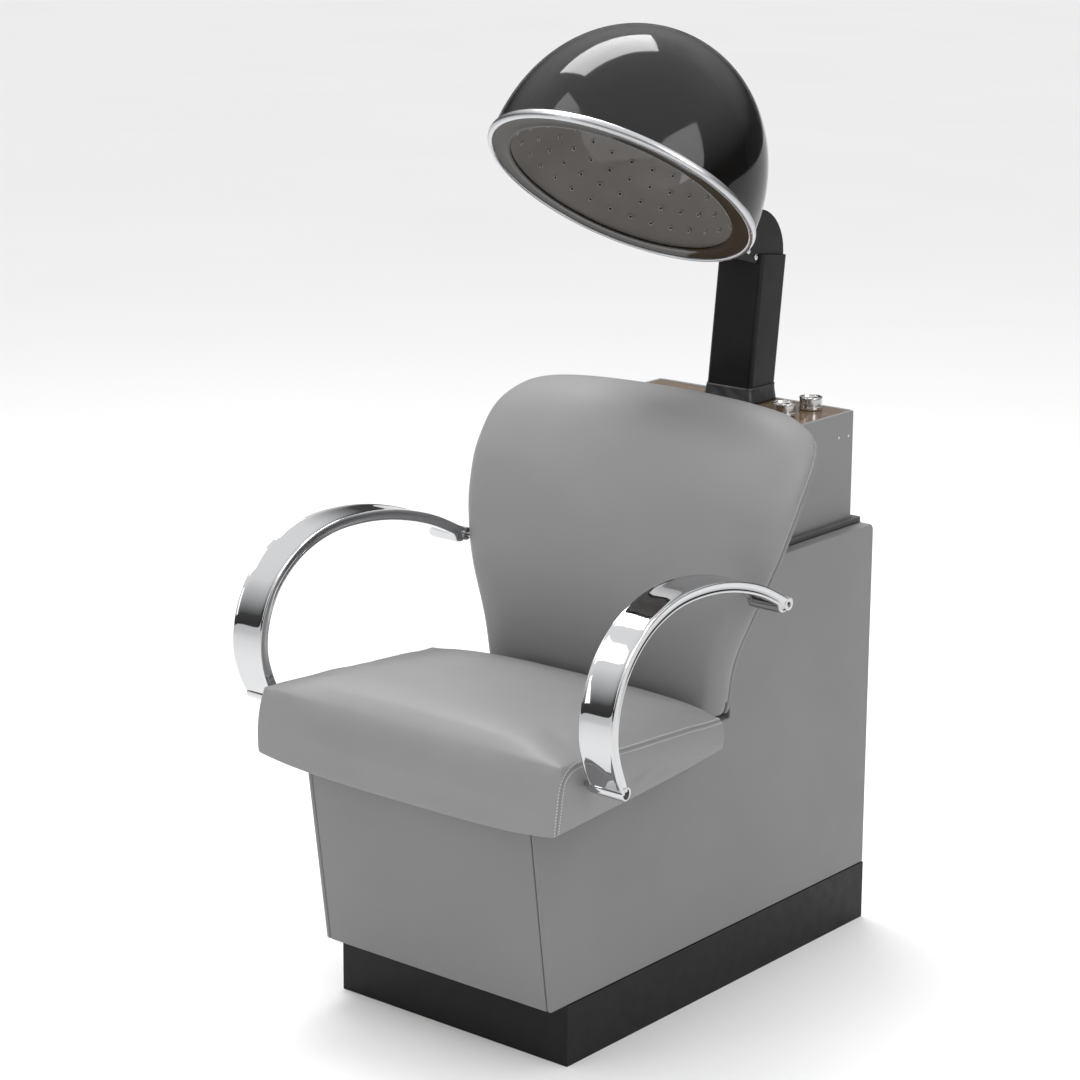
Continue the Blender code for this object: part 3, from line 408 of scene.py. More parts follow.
# ---------------------------------------------------------------- upholstery
def cage(name, cuts, place, material, body, *replaced, slot, levels=3):
    """A soft form: a cube's grid moved by place(u, v, w), each from -1 to 1, then subdivided."""
    bm = bmesh.new()
    bmesh.ops.create_cube(bm, size=2.0)
    for axis, count in enumerate(cuts):
        along = [e for e in bm.edges if abs((e.verts[0].co - e.verts[1].co)[axis]) > 1.0]
        bmesh.ops.subdivide_edges(bm, edges=along, cuts=count, use_grid_fill=True)
    for vertex in bm.verts:
        vertex.co = place(*vertex.co)
    obj = piece(name, mesh_of(bm, name), material, body, *replaced, slot=slot)
    return apply_modifiers(subdivide(obj, levels))


def inflate(obj, hold, cap):
    """Cloth simulation of a stuffed cover: hold(place) is 1 where it is fixed and 0 where it is free.

    No point moves further than cap, in metres.
    """
    start = [v.co.copy() for v in obj.data.vertices]
    held = [min(1.0, max(0.0, hold(place))) for place in start]
    group = obj.vertex_groups.new(name="pinned")
    for index, weight in enumerate(held):
        if weight > 0.95:
            group.add([index], 1.0, "REPLACE")
    cloth = obj.modifiers.new("stuffing", "CLOTH")
    settings = cloth.settings
    settings.quality = 6
    settings.mass = 0.3
    settings.tension_stiffness = 22
    settings.compression_stiffness = 18
    settings.shear_stiffness = 9
    settings.bending_stiffness = 1.2
    settings.use_pressure = True
    settings.uniform_pressure_force = CLOTH_PRESSURE
    settings.effector_weights.gravity = 0.0
    settings.vertex_group_mass = "pinned"
    cloth.collision_settings.use_collision = False
    cloth.point_cache.frame_end = CLOTH_FRAMES
    scene = bpy.context.scene
    for number in range(1, CLOTH_FRAMES + 1):
        scene.frame_set(number)
    moved = bpy.data.meshes.new_from_object(obj.evaluated_get(bpy.context.evaluated_depsgraph_get()))
    obj.modifiers.clear()
    for vertex, before, after, weight in zip(obj.data.vertices, start, moved.vertices, held):
        shift = (after.co - before) * (1.0 - weight)
        if shift.length > cap:
            shift = shift.normalized() * cap
        vertex.co = before + shift
    scene.frame_set(1)
    return obj


def move_along_normals(obj, amount):
    """Moves each vertex along its normal by amount(place), in metres."""
    places = [(v.co.copy(), v.normal.copy()) for v in obj.data.vertices]
    moved = [c for place, normal in places for c in place + normal * amount(place)]
    obj.data.vertices.foreach_set("co", moved)
    obj.data.update()


def push_in(obj, line, depth, width):
    """A groove along a line of points on the surface, such as a seam pulls into its cover."""
    tree = KDTree(len(line))
    for i, point in enumerate(line):
        tree.insert(point, i)
    tree.balance()

    def amount(place):
        distance = tree.find(place)[2]
        return -depth * math.exp(-(distance / width) ** 2) if distance < 3.0 * width else 0.0

    move_along_normals(obj, amount)


def surface_tree(obj):
    bpy.context.view_layer.update()
    return BVHTree.FromObject(obj, bpy.context.evaluated_depsgraph_get())


def stitch_row(bm, tree, line, aside):
    """Short raised threads along a line on a surface, shifted aside across the line."""
    points = even_steps(line, STITCH_PITCH)
    for before, here, after in zip(points, points[1:], points[2:]):
        along = (after - before).normalized()
        place, normal, _, _ = tree.find_nearest(here)
        across = along.cross(normal).normalized()
        spot, normal, _, _ = tree.find_nearest(place + across * aside)
        along = (along - normal * along.dot(normal)).normalized()
        across = along.cross(normal)
        rings = []
        for t, scale, lift in STITCH_RINGS:
            middle = spot + along * t * STITCH_LENGTH + normal * lift * STITCH_RADIUS
            spokes = [across * math.cos(a) + normal * math.sin(a) for a in STITCH_ANGLES]
            rings.append([bm.verts.new(middle + spoke * STITCH_RADIUS * scale) for spoke in spokes])
        for lower, upper in zip(rings, rings[1:]):
            for i in range(6):
                bm.faces.new((lower[i], lower[(i + 1) % 6], upper[(i + 1) % 6], upper[i]))
        bm.faces.new(rings[0][::-1])
        bm.faces.new(rings[-1])


def seat_point(u, v, w):
    """The seat cushion: crowned top, sides that pull in, front edge rolled over its rail."""
    across, along = math.sin(u * math.pi / 2), math.sin(v * math.pi / 2)
    back = (along + 1) / 2
    rise = (math.sin(w * math.pi / 2) + 1) / 2
    bottom = 0.3560 + 0.012 * across ** 4 + 0.022 * back * across ** 2
    edge = mix(0.464, 0.440, back)
    crown = mix(0.032, 0.006, back) * (1 - across ** 4) * (1 - max(0.0, -along) ** 6)
    bulge = 1 - 0.020 * (2 * rise - 1) ** 2
    y = mix(SEAT_FRONT + 0.014 * rise ** 2, SEAT_REAR - 0.030 * across ** 4, back)
    return Vector((SEAT_HALF_WIDTH * across * bulge, y, mix(bottom, edge + crown, rise)))


def seat_seam(sign):
    """The sewn line along the seat's side and down its front corner."""
    route = ((0.255, -0.022, 0.436), (0.270, -0.050, 0.442), (0.272, -0.140, 0.4475),
             (0.272, -0.250, 0.4530), (0.272, -0.330, 0.4580), (0.272, -0.368, 0.4575),
             (0.272, -0.391, 0.4480), (0.272, -0.402, 0.4300), (0.272, -0.406, 0.4080),
             (0.270, -0.407, 0.3830), (0.264, -0.404, 0.3660))
    return [Vector((sign * p.x, p.y, p.z)) for p in smooth_line(route, 8)]


def build_seat():
    seat = cage("seat_cushion_cover", (11, 9, 5), seat_point, SEAT_VINYL, "chair", "seat_cushion",
                slot="cushion_vinyl", levels=2)
    move_along_normals(seat, lambda place: -0.0015)
    arm_y, arm_z = ARM_FRONT_BOLT

    def hold(point):
        low = 1.0 - (point.z - 0.378) / 0.030
        near_arm = 1.2 - Vector((abs(point.x) - 0.27, point.y - arm_y, point.z - arm_z)).length / 0.110
        return max(low, near_arm)

    seat = inflate(seat, hold, 0.004)
    seat = apply_modifiers(subdivide(seat, 2))
    tree = surface_tree(seat)
    seams = {}
    for sign in (-1, 1):
        line = [tree.find_nearest(p)[0] for p in seat_seam(sign)]
        seams[sign] = line
        push_in(seat, even_steps(line, 0.002), 0.0007, 0.0022)
    tree = surface_tree(seat)
    bm = bmesh.new()
    for line in seams.values():
        for aside in (-STITCH_ASIDE, STITCH_ASIDE):
            stitch_row(bm, tree, line, aside)
    piece("seat_stitching", mesh_of(bm, "seat_stitching"), THREAD, "chair", slot="cushion_vinyl")
    # Thin dark cords sunk in the seam grooves: painted shade along the seams.
    for side, line in (("left", seams[-1]), ("right", seams[1])):
        on_top = [tree.find_nearest(p) for p in even_steps(line, 0.003)]
        sunk = [place - normal * 0.0002 for place, normal, _, _ in on_top]
        tube(f"seat_seam_{side}", sunk, 0.00045, SEAM_SHADE_VINYL, "chair", "cushion_vinyl")


def blend_rows(rows, value):
    """The rest of a table's row, blended between the rows whose first numbers enclose value."""
    for lower, upper in zip(rows, rows[1:]):
        if value <= upper[0]:
            t = (value - lower[0]) / (upper[0] - lower[0])
            return [a + (b - a) * t for a, b in zip(lower[1:], upper[1:])]
    return list(rows[-1][1:])


def back_frame(u, v):
    """The seam surface at (u, v): a point, the direction that faces the sitter, and x as -1..1."""
    index = (v + 1) / 2 * (len(BACK_ROWS) - 1)
    keyed = [(i, *row) for i, row in enumerate(BACK_ROWS)]
    height, half, setback = blend_rows(keyed, index)
    below = blend_rows(keyed, max(0.0, index - 0.5))
    above = blend_rows(keyed, min(len(BACK_ROWS) - 1.0, index + 0.5))
    facing = Vector((0.0, below[0] - above[0], above[2] - below[2])).normalized()
    across = math.sin(u * math.pi / 2)
    crown = BACK_CROWN * (1 - across ** 2) * max(0.0, v) ** 4
    return Vector((half * across, setback, height + crown)), facing, across


def back_point(u, v, w):
    """The backrest cushion: w is 1 at its seam and -1 at its padded front."""
    seam, facing, across = back_frame(u, v)
    front = (1 - w) / 2
    depth = mix(0.034, 0.018, max(0.0, v) ** 2) + 0.028 * (1 - across ** 4) * (1 - v ** 4)
    pull = 1 - 0.085 * front ** 2 * abs(across) ** 3
    return Vector((seam.x * pull, seam.y, seam.z)) + facing * depth * front


def shell_point(u, v, w):
    """The thin shell behind the backrest cushion."""
    seam, facing, _ = back_frame(u, v)
    return seam - facing * mix(0.0012, 0.0110, (w + 1) / 2)


def back_outline(*surfaces):
    """The joint between the backrest's cover and its shell: up one side, over the top and down."""
    up = [(-1.0, -0.94 + 1.94 * i / 60) for i in range(61)]
    over = [(-1.0 + 2.0 * i / 60, 1.0) for i in range(1, 60)]
    down = [(1.0, v) for _, v in reversed(up)]
    trees = [surface_tree(obj) for obj in surfaces]
    line = []
    for u, v in up + over + down:
        point = back_frame(u, v)[0]
        for _ in range(3):
            nearest = [tree.find_nearest(point)[0] for tree in trees]
            point = sum(nearest, Vector()) / len(nearest)
        line.append(point)
    return even_steps(line, 0.004)


def gather(obj, line):
    """Small puckers where the cover is drawn round the upper corners of its outline."""
    pitch, depth, reach = 0.0085, 0.0008, 0.011
    tree = KDTree(len(line))
    for i, point in enumerate(line):
        tree.insert(point, i)
    tree.balance()
    step = (line[1] - line[0]).length

    def amount(place):
        point, index, distance = tree.find(place)
        corner = max(0.0, 1.0 - abs(abs(point.x) - 0.268) / 0.030) * (1.0 if point.z > 0.735 else 0.0)
        wave = math.sin(2 * math.pi * index * step / pitch)
        return depth * corner * wave * math.exp(-(distance / reach) ** 2)

    move_along_normals(obj, amount)


def build_back():
    back = cage("back_cushion_cover", (9, 15, 3), back_point, SEAT_VINYL, "chair", "back_cushion",
                slot="cushion_vinyl", levels=2)
    arm_y, arm_z = ARM_REAR_BOLT
    steps = 240
    rim = KDTree(steps + 1)
    for i in range(steps + 1):
        t = 8.0 * i / steps % 2.0 - 1.0
        u, v = ((t, 1.0), (1.0, t), (t, -1.0), (-1.0, t))[min(3, 4 * i // steps)]
        rim.insert(back_point(u, v, 0.0), i)
    rim.balance()

    def hold(point):
        setback = blend_rows(BACK_ROWS, point.z)[1]
        near_arm = 1.3 - Vector((abs(point.x) - 0.26, point.y - arm_y, point.z - arm_z)).length / 0.050
        behind = 1.0 if point.y > setback - 0.008 else 0.0
        return max(near_arm, behind, 1.0 - (rim.find(point)[2] - 0.010) / 0.080)

    back = inflate(back, hold, 0.006)
    back = apply_modifiers(subdivide(back, 2))
    shell = cage("back_shell_cover", (9, 15, 1), shell_point, PANEL_VINYL, "chair", "back_shell",
                 slot="grey_vinyl")
    line = back_outline(back, shell)
    gather(back, line)
    tube("back_piping", line, 0.0017, PIPING_VINYL, "chair", "cushion_vinyl")


build_seat()
build_back()


# ---------------------------------------------------------------- arms
def arm_section(thickness):
    """The bar's section: (distance from the inner edge, depth from the outer face), in metres."""
    w, t, mm = ARM_WIDTH, thickness, 0.001
    half = [(0.0, 2.0 * mm), (0.5 * mm, 0.6 * mm), (2.0 * mm, 0.0), (3.4 * mm, 0.4 * mm),
            (4.6 * mm, 1.1 * mm), (w / 2, 0.9 * mm)]
    top = half + [(w - a, b) for a, b in half[-2::-1]]
    groove = 1.3 * mm
    side = [(w, 4.4 * mm), (w - groove, 5.8 * mm), (w - groove, t - 5.8 * mm), (w, t - 4.4 * mm),
            (w, t - 1.8 * mm), (w - 1.8 * mm, t)]
    under = [(w / 2, t)]
    return top + side + under + [(w - a, b) for a, b in reversed(side)]


def build_bar(side, sign):
    """The flat bar, swept from its front end to its rear end."""
    line = even_steps(smooth_line(ARM_LINE, 12), ARM_STEP)
    firm = [line[0].lerp(line[1], 0.12), line[-1].lerp(line[-2], 0.12)]
    line = [line[0], firm[0], *line[1:-1], firm[1], line[-1]]
    count = len(line)
    bm = bmesh.new()
    rings = []
    for i, here in enumerate(line):
        before, after = line[max(0, i - 1)], line[min(count - 1, i + 1)]
        along = (after - before).normalized()
        under = -Vector((-along.y, along.x))
        thickness = blend_rows(ARM_DEPTHS, (count - 1 - i) * ARM_STEP)[0]
        thickness -= 0.0035 * math.exp(-(i / 4.0) ** 2)
        ring = []
        for a, b in arm_section(thickness):
            y, z = here + under * b
            x = ARM_INNER + a - ARM_TOE_IN * (y - ARM_FRONT_BOLT[0])
            ring.append(bm.verts.new((sign * x, y, z)))
        rings.append(ring)
    for lower, upper in zip(rings, rings[1:]):
        for i in range(len(lower)):
            j = (i + 1) % len(lower)
            bm.faces.new((lower[i], lower[j], upper[j], upper[i]))
    bm.faces.new(rings[0])
    bm.faces.new(rings[-1])
    obj = piece(f"arm_bar_{side}", mesh_of(bm, "arm_bar"), CHROME, "chair", f"arm_{side}", slot="chrome")
    subdivide(obj, 1)


def build_arm(side, sign):
    build_bar(side, sign)
    for end, (y, z), inner in (("front", ARM_FRONT_BOLT, 0.2745), ("rear", ARM_REAR_BOLT, 0.2606)):
        outer = ARM_INNER + ARM_WIDTH - ARM_TOE_IN * (y - ARM_FRONT_BOLT[0])
        inner_face = outer - ARM_WIDTH
        axis = Matrix.Translation((0.0, y, z)) @ Matrix.Rotation(sign * math.pi / 2, 4, "Y")
        radius, hole = 0.0098, 0.0064 if end == "front" else 0.0034
        profile = [(0.0045, inner), (0.0072, inner), (0.0076, inner + 0.0006), (0.0076, inner_face),
                   (radius - 0.001, inner_face), (radius, inner_face + 0.001), (radius, outer - 0.0012),
                   (radius - 0.0005, outer - 0.0003), (radius - 0.0014, outer), (hole + 0.0012, outer),
                   (hole + 0.0003, outer - 0.0004), (hole, outer - 0.0012), (hole, outer - 0.0019),
                   (0.0064, outer - 0.0019), (0.0064, outer - 0.0103), (0.0045, outer - 0.0103)]
        turned(f"arm_eye_{end}_{side}", profile, axis, CHROME, "chair", slot="chrome", steps=48)
        keep_node(f"arm_bolt_{end}_{side}", CHROME)
        # Dark discs set down in each eye's bore: painted shade in the recess.
        depth, wide, steps = (outer - 0.0018, 0.0062, 24) if end == "front" else (outer - 0.0059, 0.0029, 6)
        socket = [(0.0, depth), (wide, depth), (wide, depth + 0.0004), (0.0, depth + 0.0003)]
        turned(f"arm_socket_shade_{end}_{side}", socket, axis, BORE_SHADE, "chair", slot="chrome", steps=steps)


build_arm("left", -1)
build_arm("right", 1)


# ---------------------------------------------------------------- hood
def dome_at(radius, base, height, share):
    """(radius, height) on a dome's outline: share runs from the crown, 0, to the base, 1."""
    angle = math.pi / 2 * (1 - share)
    return (radius * max(0.0, math.cos(angle)) ** (2 / DOME_POWER),
            base + height * math.sin(angle) ** (2 / DOME_POWER))


def dome_curve(radius, base, height, count):
    """A dome's outline from the crown down to its base, as (radius, height) points."""
    return [(0.0, base + height)] + [dome_at(radius, base, height, i / count) for i in range(1, count + 1)]


def dome_point(radius, base, height, share, turn):
    """A point and outward normal on a dome, turn radians round it."""
    here, after, before = (dome_at(radius, base, height, s)
                           for s in (share, min(0.9999, share + 0.004), share - 0.004))
    slope = Vector((after[0] - before[0], after[1] - before[1])).normalized()
    out = Vector((-slope.y, slope.x))
    if out.y < 0.0 and share < 0.9:
        out = -out
    point = Vector((here[0] * math.cos(turn), here[0] * math.sin(turn), here[1]))
    normal = Vector((abs(out.x) * math.cos(turn), abs(out.x) * math.sin(turn), abs(out.y)))
    return point, normal.normalized()


def build_shells():
    outer = dome_curve(DOME_RADIUS, DOME_BASE, DOME_HEIGHT, 40)
    inner = dome_curve(DOME_RADIUS - DOME_WALL, DOME_BASE, DOME_HEIGHT - DOME_WALL, 40)
    shell = turned("hood_shell", outer + inner[::-1], HOOD_FRAME, SMOKED_SHELL, "hood", "hood_outer_shell",
                   steps=144, slot="smoked_plastic")
    shell.data.shade_smooth()
    outer = dome_curve(BONNET_RADIUS, BONNET_BASE, BONNET_HEIGHT, 36)
    inner = dome_curve(BONNET_RADIUS - BONNET_WALL, BONNET_BASE, BONNET_HEIGHT - BONNET_WALL, 36)
    turned("hood_bonnet", outer + inner[::-1], HOOD_FRAME, SMOKED_BONNET, "hood", "hood_inner_bonnet",
           steps=144, slot="smoked_plastic")
    lip = [(0.1660, 0.0063), (0.1655, 0.0048), (0.1660, 0.0033), (0.1690, 0.0026), (0.1720, 0.0030),
           (0.1800, 0.0033), (0.1890, 0.0026), (0.1919, 0.0025), (0.1919, 0.0055), (0.1880, 0.0060),
           (0.1800, 0.0063), (0.1700, 0.0063)]
    turned("hood_lip", lip, HOOD_FRAME, SMOKED_LIP, "hood", "hood_lip_ring",
           steps=144, slot="smoked_plastic")
    rim = [(0.1922, RIM_HEIGHT), (0.1965, RIM_HEIGHT), (0.1979, 0.0123), (0.1992, 0.0110), (0.2001, 0.0090),
           (RIM_RADIUS, 0.0068), (0.2002, 0.0044), (0.1993, 0.0024), (0.1978, 0.0008), (0.1958, 0.0),
           (0.1940, 0.0001), (0.1928, 0.0008), (0.1922, 0.0020)]
    turned("hood_rim", rim, HOOD_FRAME, ALUMINIUM, "hood", "hood_rim_band",
           steps=160, slot="satin_aluminium")


def build_nozzles():
    """Staggered rows of small moulded rings on the bonnet, standing into the hood. Their pale grey, lighter
    than the bonnet they are moulded with, is a painted highlight.
    """
    bm = bmesh.new()
    hole_shades = bmesh.new()
    inside = BONNET_RADIUS - BONNET_WALL
    rows = 11
    for row in range(rows):
        share = 0.12 + 0.80 * row / (rows - 1)
        radius = inside * math.sin(math.pi / 2 * share)
        count = max(5, round(2 * math.pi * radius / 0.032))
        for i in range(count):
            turn = 2 * math.pi * (i + 0.5 * (row % 2)) / count
            point, normal = dome_point(inside, BONNET_BASE, BONNET_HEIGHT - BONNET_WALL, share, turn)
            look = normal.to_track_quat("Z", "Y").to_matrix().to_4x4()
            place = HOOD_FRAME @ Matrix.Translation(point) @ look
            spin(bm, [(0.0034, 0.0010), (0.0033, -0.0012), (0.0029, -0.0020), (0.0023, -0.0021),
                      (0.0019, -0.0014), (0.0018, 0.0004)], place, 16)
            # a dark disc in the ring's opening: painted shade
            spin(hole_shades, [(0.0, -0.0007), (0.0017, -0.0007), (0.0017, 0.0003), (0.0, 0.0003)], place, 12)
    piece("bonnet_nozzles", mesh_of(bm, "bonnet_nozzles"), NOZZLE_PAINTED_HIGHLIGHT, "hood", slot="smoked_plastic")
    piece("bonnet_hole_shades", mesh_of(hole_shades, "bonnet_hole_shades"), NOZZLE_HOLE_SHADE, "hood", slot="black_rubber")


def build_diffuser_dots():
    """The baffle behind the bonnet, with its grid of small air holes as dark dimples: painted shade in place
    of the holes.
    """
    keep_node("air_diffuser", SMOKED_LIP)
    bm = bmesh.new()
    for row in range(9):
        for column in range(-6, 7):
            share = 0.62 + 0.036 * row
            turn = math.pi / 2 + (column + 0.5 * (row % 2)) * 0.046
            point, normal = dome_point(0.1826, 0.014, 0.2126, share, turn)
            look = normal.to_track_quat("Z", "Y").to_matrix().to_4x4()
            spin(bm, [(0.0, -0.0002), (0.0013, -0.0002), (0.0015, -0.0008), (0.0017, 0.0002), (0.0, 0.0003)],
                 HOOD_FRAME @ Matrix.Translation(point) @ look, 10)
    piece("diffuser_hole_shades", mesh_of(bm, "diffuser_hole_shades"), RUBBER_AND_HOLE_SHADE, "hood", slot="black_rubber")


def build_plug():
    """The oval rubber plug at the crown."""
    place = HOOD_FRAME @ Matrix.Translation((0, 0, PLUG_HEIGHT)) @ Matrix.Diagonal((1.3, 1.0, 1.0, 1.0))
    profile = [(0.0, 0.0075), (0.0055, 0.0074), (0.0090, 0.0068), (0.0112, 0.0060), (0.0121, 0.0054),
               (0.0120, 0.0049), (0.0091, 0.0049), (0.0091, -0.0040), (0.0, -0.0040)]
    turned("crown_plug", profile, place, RUBBER_AND_HOLE_SHADE, "hood", "hood_top_plug", slot="black_rubber", steps=64)


build_shells()
build_nozzles()
build_diffuser_dots()
build_plug()
keep_node("hood_neck", DUCT_BLACK, 0.0016)
for screw in ("neck_screw_left", "neck_screw_right", "hinge_screw_left", "hinge_screw_right"):
    keep_node(screw, CHROME, 0.0003, 2)


# ---------------------------------------------------------------- duct and boot
keep_node("outer_duct", DUCT_BLACK, 0.0004, 2)
keep_node("inner_duct", DUCT_BLACK, 0.0004, 2)
keep_node("height_lock_screw", STEEL, 0.0003, 2)


def boot_ring(bm, rise, inside):
    """One level of the collar: a rounded rectangle round the duct, moved out by its flare and creases."""
    half_x, half_y = BOOT_HALF
    height = BOX_TOP + 0.0003 + BOOT_HEIGHT * rise
    centre = DUCT_FRAME @ Vector((0, 0, (height - DUCT_FRAME.translation.z) / math.cos(DUCT_LEAN)))
    flare = 0.0006 if inside else 0.0024 + 0.0042 * max(0.0, 1 - rise) ** 1.6
    depth = max(0.0, math.sin(math.pi * rise)) ** 0.7
    ring = []
    for i in range(BOOT_SIDES):
        angle = 2 * math.pi * i / BOOT_SIDES
        c, s = math.cos(angle), math.sin(angle)
        square = (abs(c) ** 8 + abs(s) ** 8) ** (-1 / 8)
        crease = 0.0
        if not inside:
            crease = 0.0006 * math.sin(9 * angle + 5 * rise) * depth
            crease += 0.0005 * noise.noise(Vector((c * 4, s * 4, rise * 3)))
        x = min(half_x, half_x * abs(c) * square) * math.copysign(1, c)
        y = min(half_y, half_y * abs(s) * square) * math.copysign(1, s)
        out = Vector((x / half_x, y / half_y)).normalized() * (flare + max(crease, -0.0016))
        ring.append(bm.verts.new((x + out.x, centre.y + y + out.y * 0.8, height)))
    return ring


def build_boot():
    """The flared collar at the duct's foot, with the creases its loose cover shows."""
    bm = bmesh.new()
    rises = [i / (BOOT_LEVELS - 1) for i in range(BOOT_LEVELS)]
    rings = [boot_ring(bm, rise, False) for rise in rises]
    rings += [boot_ring(bm, rise, True) for rise in reversed(rises)]
    for lower, upper in zip(rings, [*rings[1:], rings[0]]):
        for i in range(BOOT_SIDES):
            j = (i + 1) % BOOT_SIDES
            bm.faces.new((lower[i], lower[j], upper[j], upper[i]))
    piece("duct_boot_cover", mesh_of(bm, "duct_boot_cover"), BOOT_VINYL, "chair", "duct_boot",
          slot="black_rubber")


build_boot()


# ---------------------------------------------------------------- controls
def build_knob(label, body):
    """A knob with a dished top, a bead at its foot and a pointer mark."""
    low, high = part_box(f"{label}_knob")
    x, y = (low.x + high.x) / 2, (low.y + high.y) / 2
    r, top = (high.x - low.x) / 2, high.z
    base = top - 0.019
    profile = [(0.0, top - 0.0044), (0.0060, top - 0.0045), (0.0120, top - 0.0046),
               (0.0138, top - 0.0045), (0.0146, top - 0.0038), (0.0149, top - 0.0010),
               (0.0153, top - 0.0002), (0.0159, top), (r - 0.0005, top - 0.0003),
               (r - 0.0001, top - 0.0010), (r - 0.0001, top - 0.0030), (r - 0.0006, top - 0.0034),
               (r - 0.0006, base + 0.0052), (r, base + 0.0047), (r, base + 0.0014),
               (r - 0.0004, base + 0.0006), (r - 0.0012, base), (0.0040, base),
               (0.0040, low.z), (0.0, low.z)]
    turned(f"{label}_dial", profile, Matrix.Translation((x, y, 0.0)), KNOB_CHROME, body, f"{label}_knob",
           slot="chrome", sharp=50.0)
    bm = bmesh.new()
    pointer = Matrix.Translation((x - 0.0095, y, top - 0.0041)) @ Matrix.Diagonal((3.2, 1.0, 1.0, 1.0))
    spin(bm, [(0.0, 0.0004), (0.0006, 0.0003), (0.0008, -0.0004), (0.0, -0.0004)], pointer, 20)
    piece(f"{label}_pointer", mesh_of(bm, f"{label}_pointer"), RUBBER_AND_HOLE_SHADE, body, slot="black_rubber")


build_knob("timer", "timer_dial")
build_knob("heat", "heat_dial")
keep_node("control_plate", BROWN_PLATE, 0.0004, 2)


def build_nails():
    """Two small nail heads on the box's right face."""
    bm = bmesh.new()
    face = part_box("box_wall_right")[1].x
    profile = [(0.0, 0.0014), (0.0012, 0.0012), (0.0021, 0.0005), (0.0024, -0.0002), (0.0, -0.0002)]
    for y, z in ((0.351, 0.752), (0.376, 0.751)):
        spin(bm, profile, Matrix.Translation((face, y, z)) @ Matrix.Rotation(math.pi / 2, 4, "Y"), 20)
    piece("box_nails", mesh_of(bm, "box_nails"), STEEL, "chair", slot="zinc_steel")


build_nails()

# ---------------------------------------------------------------- cabinet and inside
for name in ("box_wall_front", "box_wall_left", "box_wall_rear", "box_wall_right"):
    keep_node(name, PANEL_VINYL, 0.0024)
for name in ("side_panel_left", "side_panel_right", "rear_panel", "riser_panel", "top_ledge"):
    keep_node(name, PANEL_VINYL, 0.0026)
keep_node("front_panel", PANEL_VINYL, 0.0016)
keep_node("gimp_trim", WELT, 0.0024)
keep_node("plinth", LAMINATE, 0.0006, 2)
for name in ("back_block_left", "back_block_right", "base_board", "blower_shelf", "seat_deck",
             "seat_frame"):
    keep_node(name, PLYWOOD, 0.0006, 2)
for name in ("blower_motor", "blower_scroll", "blower_wheel", "intake_grille", "motor_bracket",
             "motor_shaft"):
    keep_node(name, STEEL, 0.0004, 2)
keep_node("power_inlet", RUBBER_AND_HOLE_SHADE, 0.0005, 2)
for name in ("heat_switch", "timer_switch"):
    keep_node(name, NYLON, 0.0008, 2)
keep_node("heater_coil", WIRE)
for name in ("heater_frame", "thermostat"):
    keep_node(name, MICA, 0.0004, 2)
keep_node("lint_filter", FOAM, 0.001)


# ---------------------------------------------------------------- studio
def build_camera():
    """A long lens: azimuth, elevation and roll in degrees about a target."""
    azimuth, elevation, roll = math.radians(40.18), math.radians(13.26), math.radians(0.159)
    target, distance = Vector((-0.197, -0.002, 0.724)), 4.419
    back = Vector((math.sin(azimuth) * math.cos(elevation), -math.cos(azimuth) * math.cos(elevation),
                   math.sin(elevation)))
    right = Vector((math.cos(azimuth), math.sin(azimuth), 0.0))
    up = back.cross(right)
    turn = Matrix((right, up, back)).transposed().to_4x4()
    camera = bpy.data.objects.new("camera", bpy.data.cameras.new("camera"))
    camera.matrix_world = Matrix.Translation(target + back * distance) @ turn @ Matrix.Rotation(roll, 4, "Z")
    camera.data.sensor_width = 36.0
    camera.data.lens = 101.67
    camera.data.shift_x = 0.0503
    camera.data.shift_y = -0.0740
    bpy.context.scene.collection.objects.link(camera)
    bpy.context.scene.camera = camera


def softbox(name, place, aim, width, height, radiance, glossy=True, diffuse=True):
    """A rectangular lamp of an even brightness, seen in reflections and not by the camera."""
    data = bpy.data.lights.new(name, "AREA")
    data.shape = "RECTANGLE"
    data.size, data.size_y = width, height
    data.energy = radiance * math.pi * width * height
    lamp = bpy.data.objects.new(name, data)
    place, aim = Vector(place), Vector(aim)
    facing = (place - aim).to_track_quat("Z", "Y").to_matrix().to_4x4()
    lamp.matrix_world = Matrix.Translation(place) @ facing
    lamp.visible_camera = False
    lamp.visible_glossy = glossy
    lamp.visible_diffuse = diffuse
    bpy.context.scene.collection.objects.link(lamp)


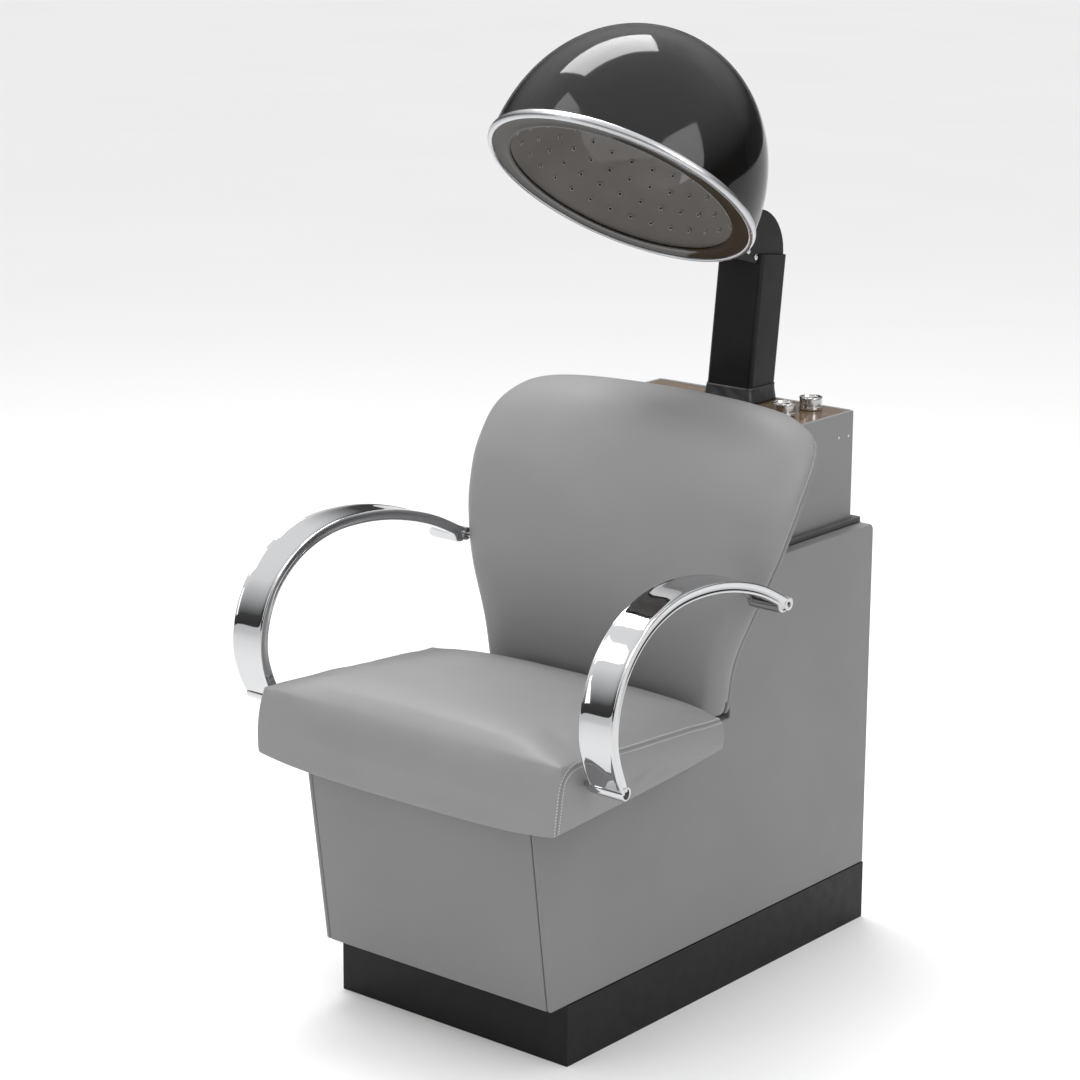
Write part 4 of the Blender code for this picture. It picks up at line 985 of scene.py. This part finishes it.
def build_lights():
    hood, seat = (0.0, 0.05, 1.13), (0.0, -0.1, 0.5)
    softbox("overhead", (0.1, -0.5, 3.6), (0.0, 0.0, 0.0), 3.2, 2.6, 1.5, glossy=False)
    softbox("shoulder", (-1.10, 0.75, 3.40), hood, 1.9, 1.1, 9.0)
    softbox("side", (2.8, -0.6, 1.9), seat, 0.9, 1.6, 2.4)
    softbox("front", (-1.6, -3.6, 1.9), seat, 0.7, 1.6, 2.4)
    softbox("window_right", (2.75, 0.10, 2.37), hood, 1.7, 1.6, 3.4, diffuse=False)
    softbox("window_left", (-1.25, -1.60, 3.30), hood, 1.5, 1.2, 3.0, diffuse=False)


def build_floor():
    bm = bmesh.new()
    bmesh.ops.create_grid(bm, x_segments=1, y_segments=1, size=40.0)
    mesh = bpy.data.meshes.new("floor")
    bm.to_mesh(mesh)
    bm.free()
    floor = bpy.data.objects.new("floor", mesh)
    bpy.context.scene.collection.objects.link(floor)
    look = Shader("pale_floor", (0.86, 0.86, 0.86), 0.75)
    look.tint(look.noise(0.8, 2.0), 0.99, 1.01)
    mesh.materials.append(look.material)


def build_world():
    """A studio that is bright overhead and falls to a dim band at the horizon."""
    world = bpy.data.worlds.new("studio")
    bpy.context.scene.world = world
    world.use_nodes = True
    tree = world.node_tree
    place = tree.nodes.new("ShaderNodeTexCoord")
    split = tree.nodes.new("ShaderNodeSeparateXYZ")
    ramp = tree.nodes.new("ShaderNodeValToRGB")
    stops = ((0.0, 0.05), (0.16, 0.08), (0.34, 0.55), (0.60, 1.10), (1.0, 1.25))
    for _ in stops[2:]:
        ramp.color_ramp.elements.new(0.5)
    for element, (position, grey) in zip(ramp.color_ramp.elements, stops):
        element.position = position
        element.color = (grey, grey, grey * 1.01, 1.0)
    tree.links.new(place.outputs["Generated"], split.inputs["Vector"])
    tree.links.new(split.outputs["Z"], ramp.inputs["Fac"])
    tree.links.new(ramp.outputs["Color"], tree.nodes["Background"].inputs["Color"])
    bpy.context.scene.view_settings.view_transform = "Standard"


build_camera()
build_floor()
build_world()
build_lights()
